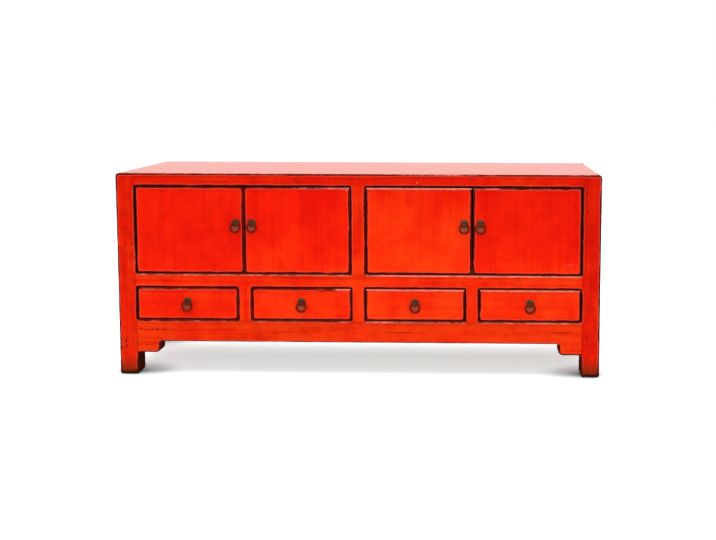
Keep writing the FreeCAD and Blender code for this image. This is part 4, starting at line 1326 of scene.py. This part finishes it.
class CABINET_OT_stage(bpy.types.Operator):
    """White floor, soft light and the camera"""

    bl_idname = "cabinet.stage"
    bl_label = "Stage"

    FLOOR_SIZE = 30.0
    FLOOR_GREY = (0.80, 0.80, 0.80, 1.0)
    FLOOR_TINT = (1.0, 1.10, 1.13)
    CONTACT_REACH = 0.10
    CONTACT_DEPTH = 4.0
    AIM = (0.0, 0.0, 0.2)
    SENSOR_WIDTH = 36.0
    SOFTBOXES = {
        "overhead": ((0.1, -0.4, 3.1), (3.4, 2.0)),
        "fill": ((0.2, -3.6, 1.4), (4.0, 2.0)),
        "rear": ((0.0, 2.2, 1.9), (3.4, 1.0)),
    }

    def execute(self, context):
        stage = context.scene.cabinet_stage
        context.scene.view_settings.view_transform = "Standard"
        self.make_floor(context, stage)
        self.make_light(context, stage)
        self.make_camera(context, stage)
        return {"FINISHED"}

    def emptied(self, owner):
        """The nodes of a material or a world, with none left."""
        owner.use_nodes = True
        owner.node_tree.nodes.clear()
        return Nodes(owner.node_tree)

    def seen_by_eye(self, nodes):
        """One for what the camera sees, straight or in a reflection or through glass."""
        path = nodes.add("ShaderNodeLightPath")
        return nodes.most(path["Is Camera Ray"], path["Is Glossy Ray"], path["Is Transmission Ray"])

    def make_floor(self, context, stage):
        """A white floor that keeps the cabinet's shadow."""
        half = self.FLOOR_SIZE / 2
        mesh = bpy.data.meshes.new("floor")
        corners = [(-half, -half, 0), (half, -half, 0), (half, half, 0), (-half, half, 0)]
        mesh.from_pydata(corners, [], [(0, 1, 2, 3)])
        material = bpy.data.materials.new("white_floor")
        nodes = self.emptied(material)
        plain = nodes.add("ShaderNodeBsdfDiffuse", {"Color": self.FLOOR_GREY})[0]
        share = (1.0 - stage.floor_glow) / stage.sky
        # The shaded part is tinted cool so the red light bounced off the cabinet does not show in the shadow.
        cool = opaque(share * part for part in self.FLOOR_TINT)
        shaded = nodes.add("ShaderNodeBsdfDiffuse", {"Color": cool})[0]
        # Painted contact shadow: ambient occlusion darkens the floor's glow close to the legs.
        open_sky = nodes.add("ShaderNodeAmbientOcclusion", {"Distance": self.CONTACT_REACH})["AO"]
        level = nodes.times(nodes.calc("POWER", open_sky, self.CONTACT_DEPTH), stage.floor_glow)
        glow = nodes.add("ShaderNodeEmission", {"Strength": level})[0]
        seen = nodes.add("ShaderNodeAddShader", {0: shaded, 1: glow})[0]
        mixed = nodes.add("ShaderNodeMixShader", {0: self.seen_by_eye(nodes), 1: plain, 2: seen})[0]
        nodes.add("ShaderNodeOutputMaterial", {"Surface": mixed})
        mesh.materials.append(material)
        floor = add_object(context, "floor", mesh)

    def make_light(self, context, stage):
        """Even light from all round and three large soft lights aimed at the cabinet."""
        world = bpy.data.worlds.new("white_room")
        nodes = self.emptied(world)
        level = nodes.add("ShaderNodeMapRange", {"Value": self.seen_by_eye(nodes), 3: stage.sky, 4: 1.0})[0]
        white = nodes.add("ShaderNodeBackground", {"Color": (1.0, 1.0, 1.0, 1.0), "Strength": level})[0]
        nodes.add("ShaderNodeOutputWorld", {"Surface": white})
        context.scene.world = world
        for name, (place, size) in self.SOFTBOXES.items():
            lamp = bpy.data.lights.new(name, "AREA")
            lamp.shape = "RECTANGLE"
            lamp.size, lamp.size_y = size
            lamp.energy = getattr(stage, name)
            softbox = add_object(context, name, lamp)
            softbox.location = place
            aim = Vector(self.AIM) - softbox.location
            softbox.rotation_euler = aim.to_track_quat("-Z", "Y").to_euler()

    def make_camera(self, context, stage):
        """The camera where the photograph was taken from."""
        turn = Matrix.Rotation(stage.camera_turn, 4, "Z")
        dip = Matrix.Rotation(math.pi / 2 - stage.camera_dip, 4, "X")
        roll = Matrix.Rotation(stage.camera_roll, 4, "Z")
        data = bpy.data.cameras.new("camera")
        data.sensor_fit = "HORIZONTAL"
        data.sensor_width = self.SENSOR_WIDTH
        data.lens = stage.lens
        data.shift_x = stage.shift_x
        data.shift_y = stage.shift_y
        camera = add_object(context, "camera", data)
        camera.matrix_world = Matrix.Translation(stage.camera_place) @ turn @ dip @ roll
        context.scene.camera = camera


OPERATORS = (
    CABINET_OT_legs, CABINET_OT_rails, CABINET_OT_posts, CABINET_OT_aprons, CABINET_OT_top, CABINET_OT_back,
    CABINET_OT_doors, CABINET_OT_drawers, CABINET_OT_pulls, CABINET_OT_inside, CABINET_OT_stage,
)
GROUPS = {"cabinet_work": CabinetWork, "cabinet_finish": CabinetFinish, "cabinet_stage": CabinetStage}


class CABINET_PT_panel(bpy.types.Panel):
    """The cabinet's pieces, sizes and finishes"""

    bl_idname = "CABINET_PT_panel"
    bl_label = "Lacquered cabinet"
    bl_space_type = "VIEW_3D"
    bl_region_type = "UI"
    bl_category = "Cabinet"

    def draw(self, context):
        for name, group in GROUPS.items():
            column = self.layout.column(heading=group.__doc__)
            for prop in group.__annotations__:
                column.prop(getattr(context.scene, name), prop)
        for operator in OPERATORS:
            self.layout.operator(operator.bl_idname)


def register():
    for name, group in GROUPS.items():
        bpy.utils.register_class(group)
        setattr(bpy.types.Scene, name, bpy.props.PointerProperty(type=group))
    for operator in OPERATORS:
        bpy.utils.register_class(operator)
    bpy.utils.register_class(CABINET_PT_panel)


def unregister():
    bpy.utils.unregister_class(CABINET_PT_panel)
    for operator in reversed(OPERATORS):
        bpy.utils.unregister_class(operator)
    for name, group in GROUPS.items():
        delattr(bpy.types.Scene, name)
        bpy.utils.unregister_class(group)


def main():
    register()
    for operator in OPERATORS:
        family, piece = operator.bl_idname.split(".")
        getattr(getattr(bpy.ops, family), piece)()


if __name__ == "__main__":
    main()
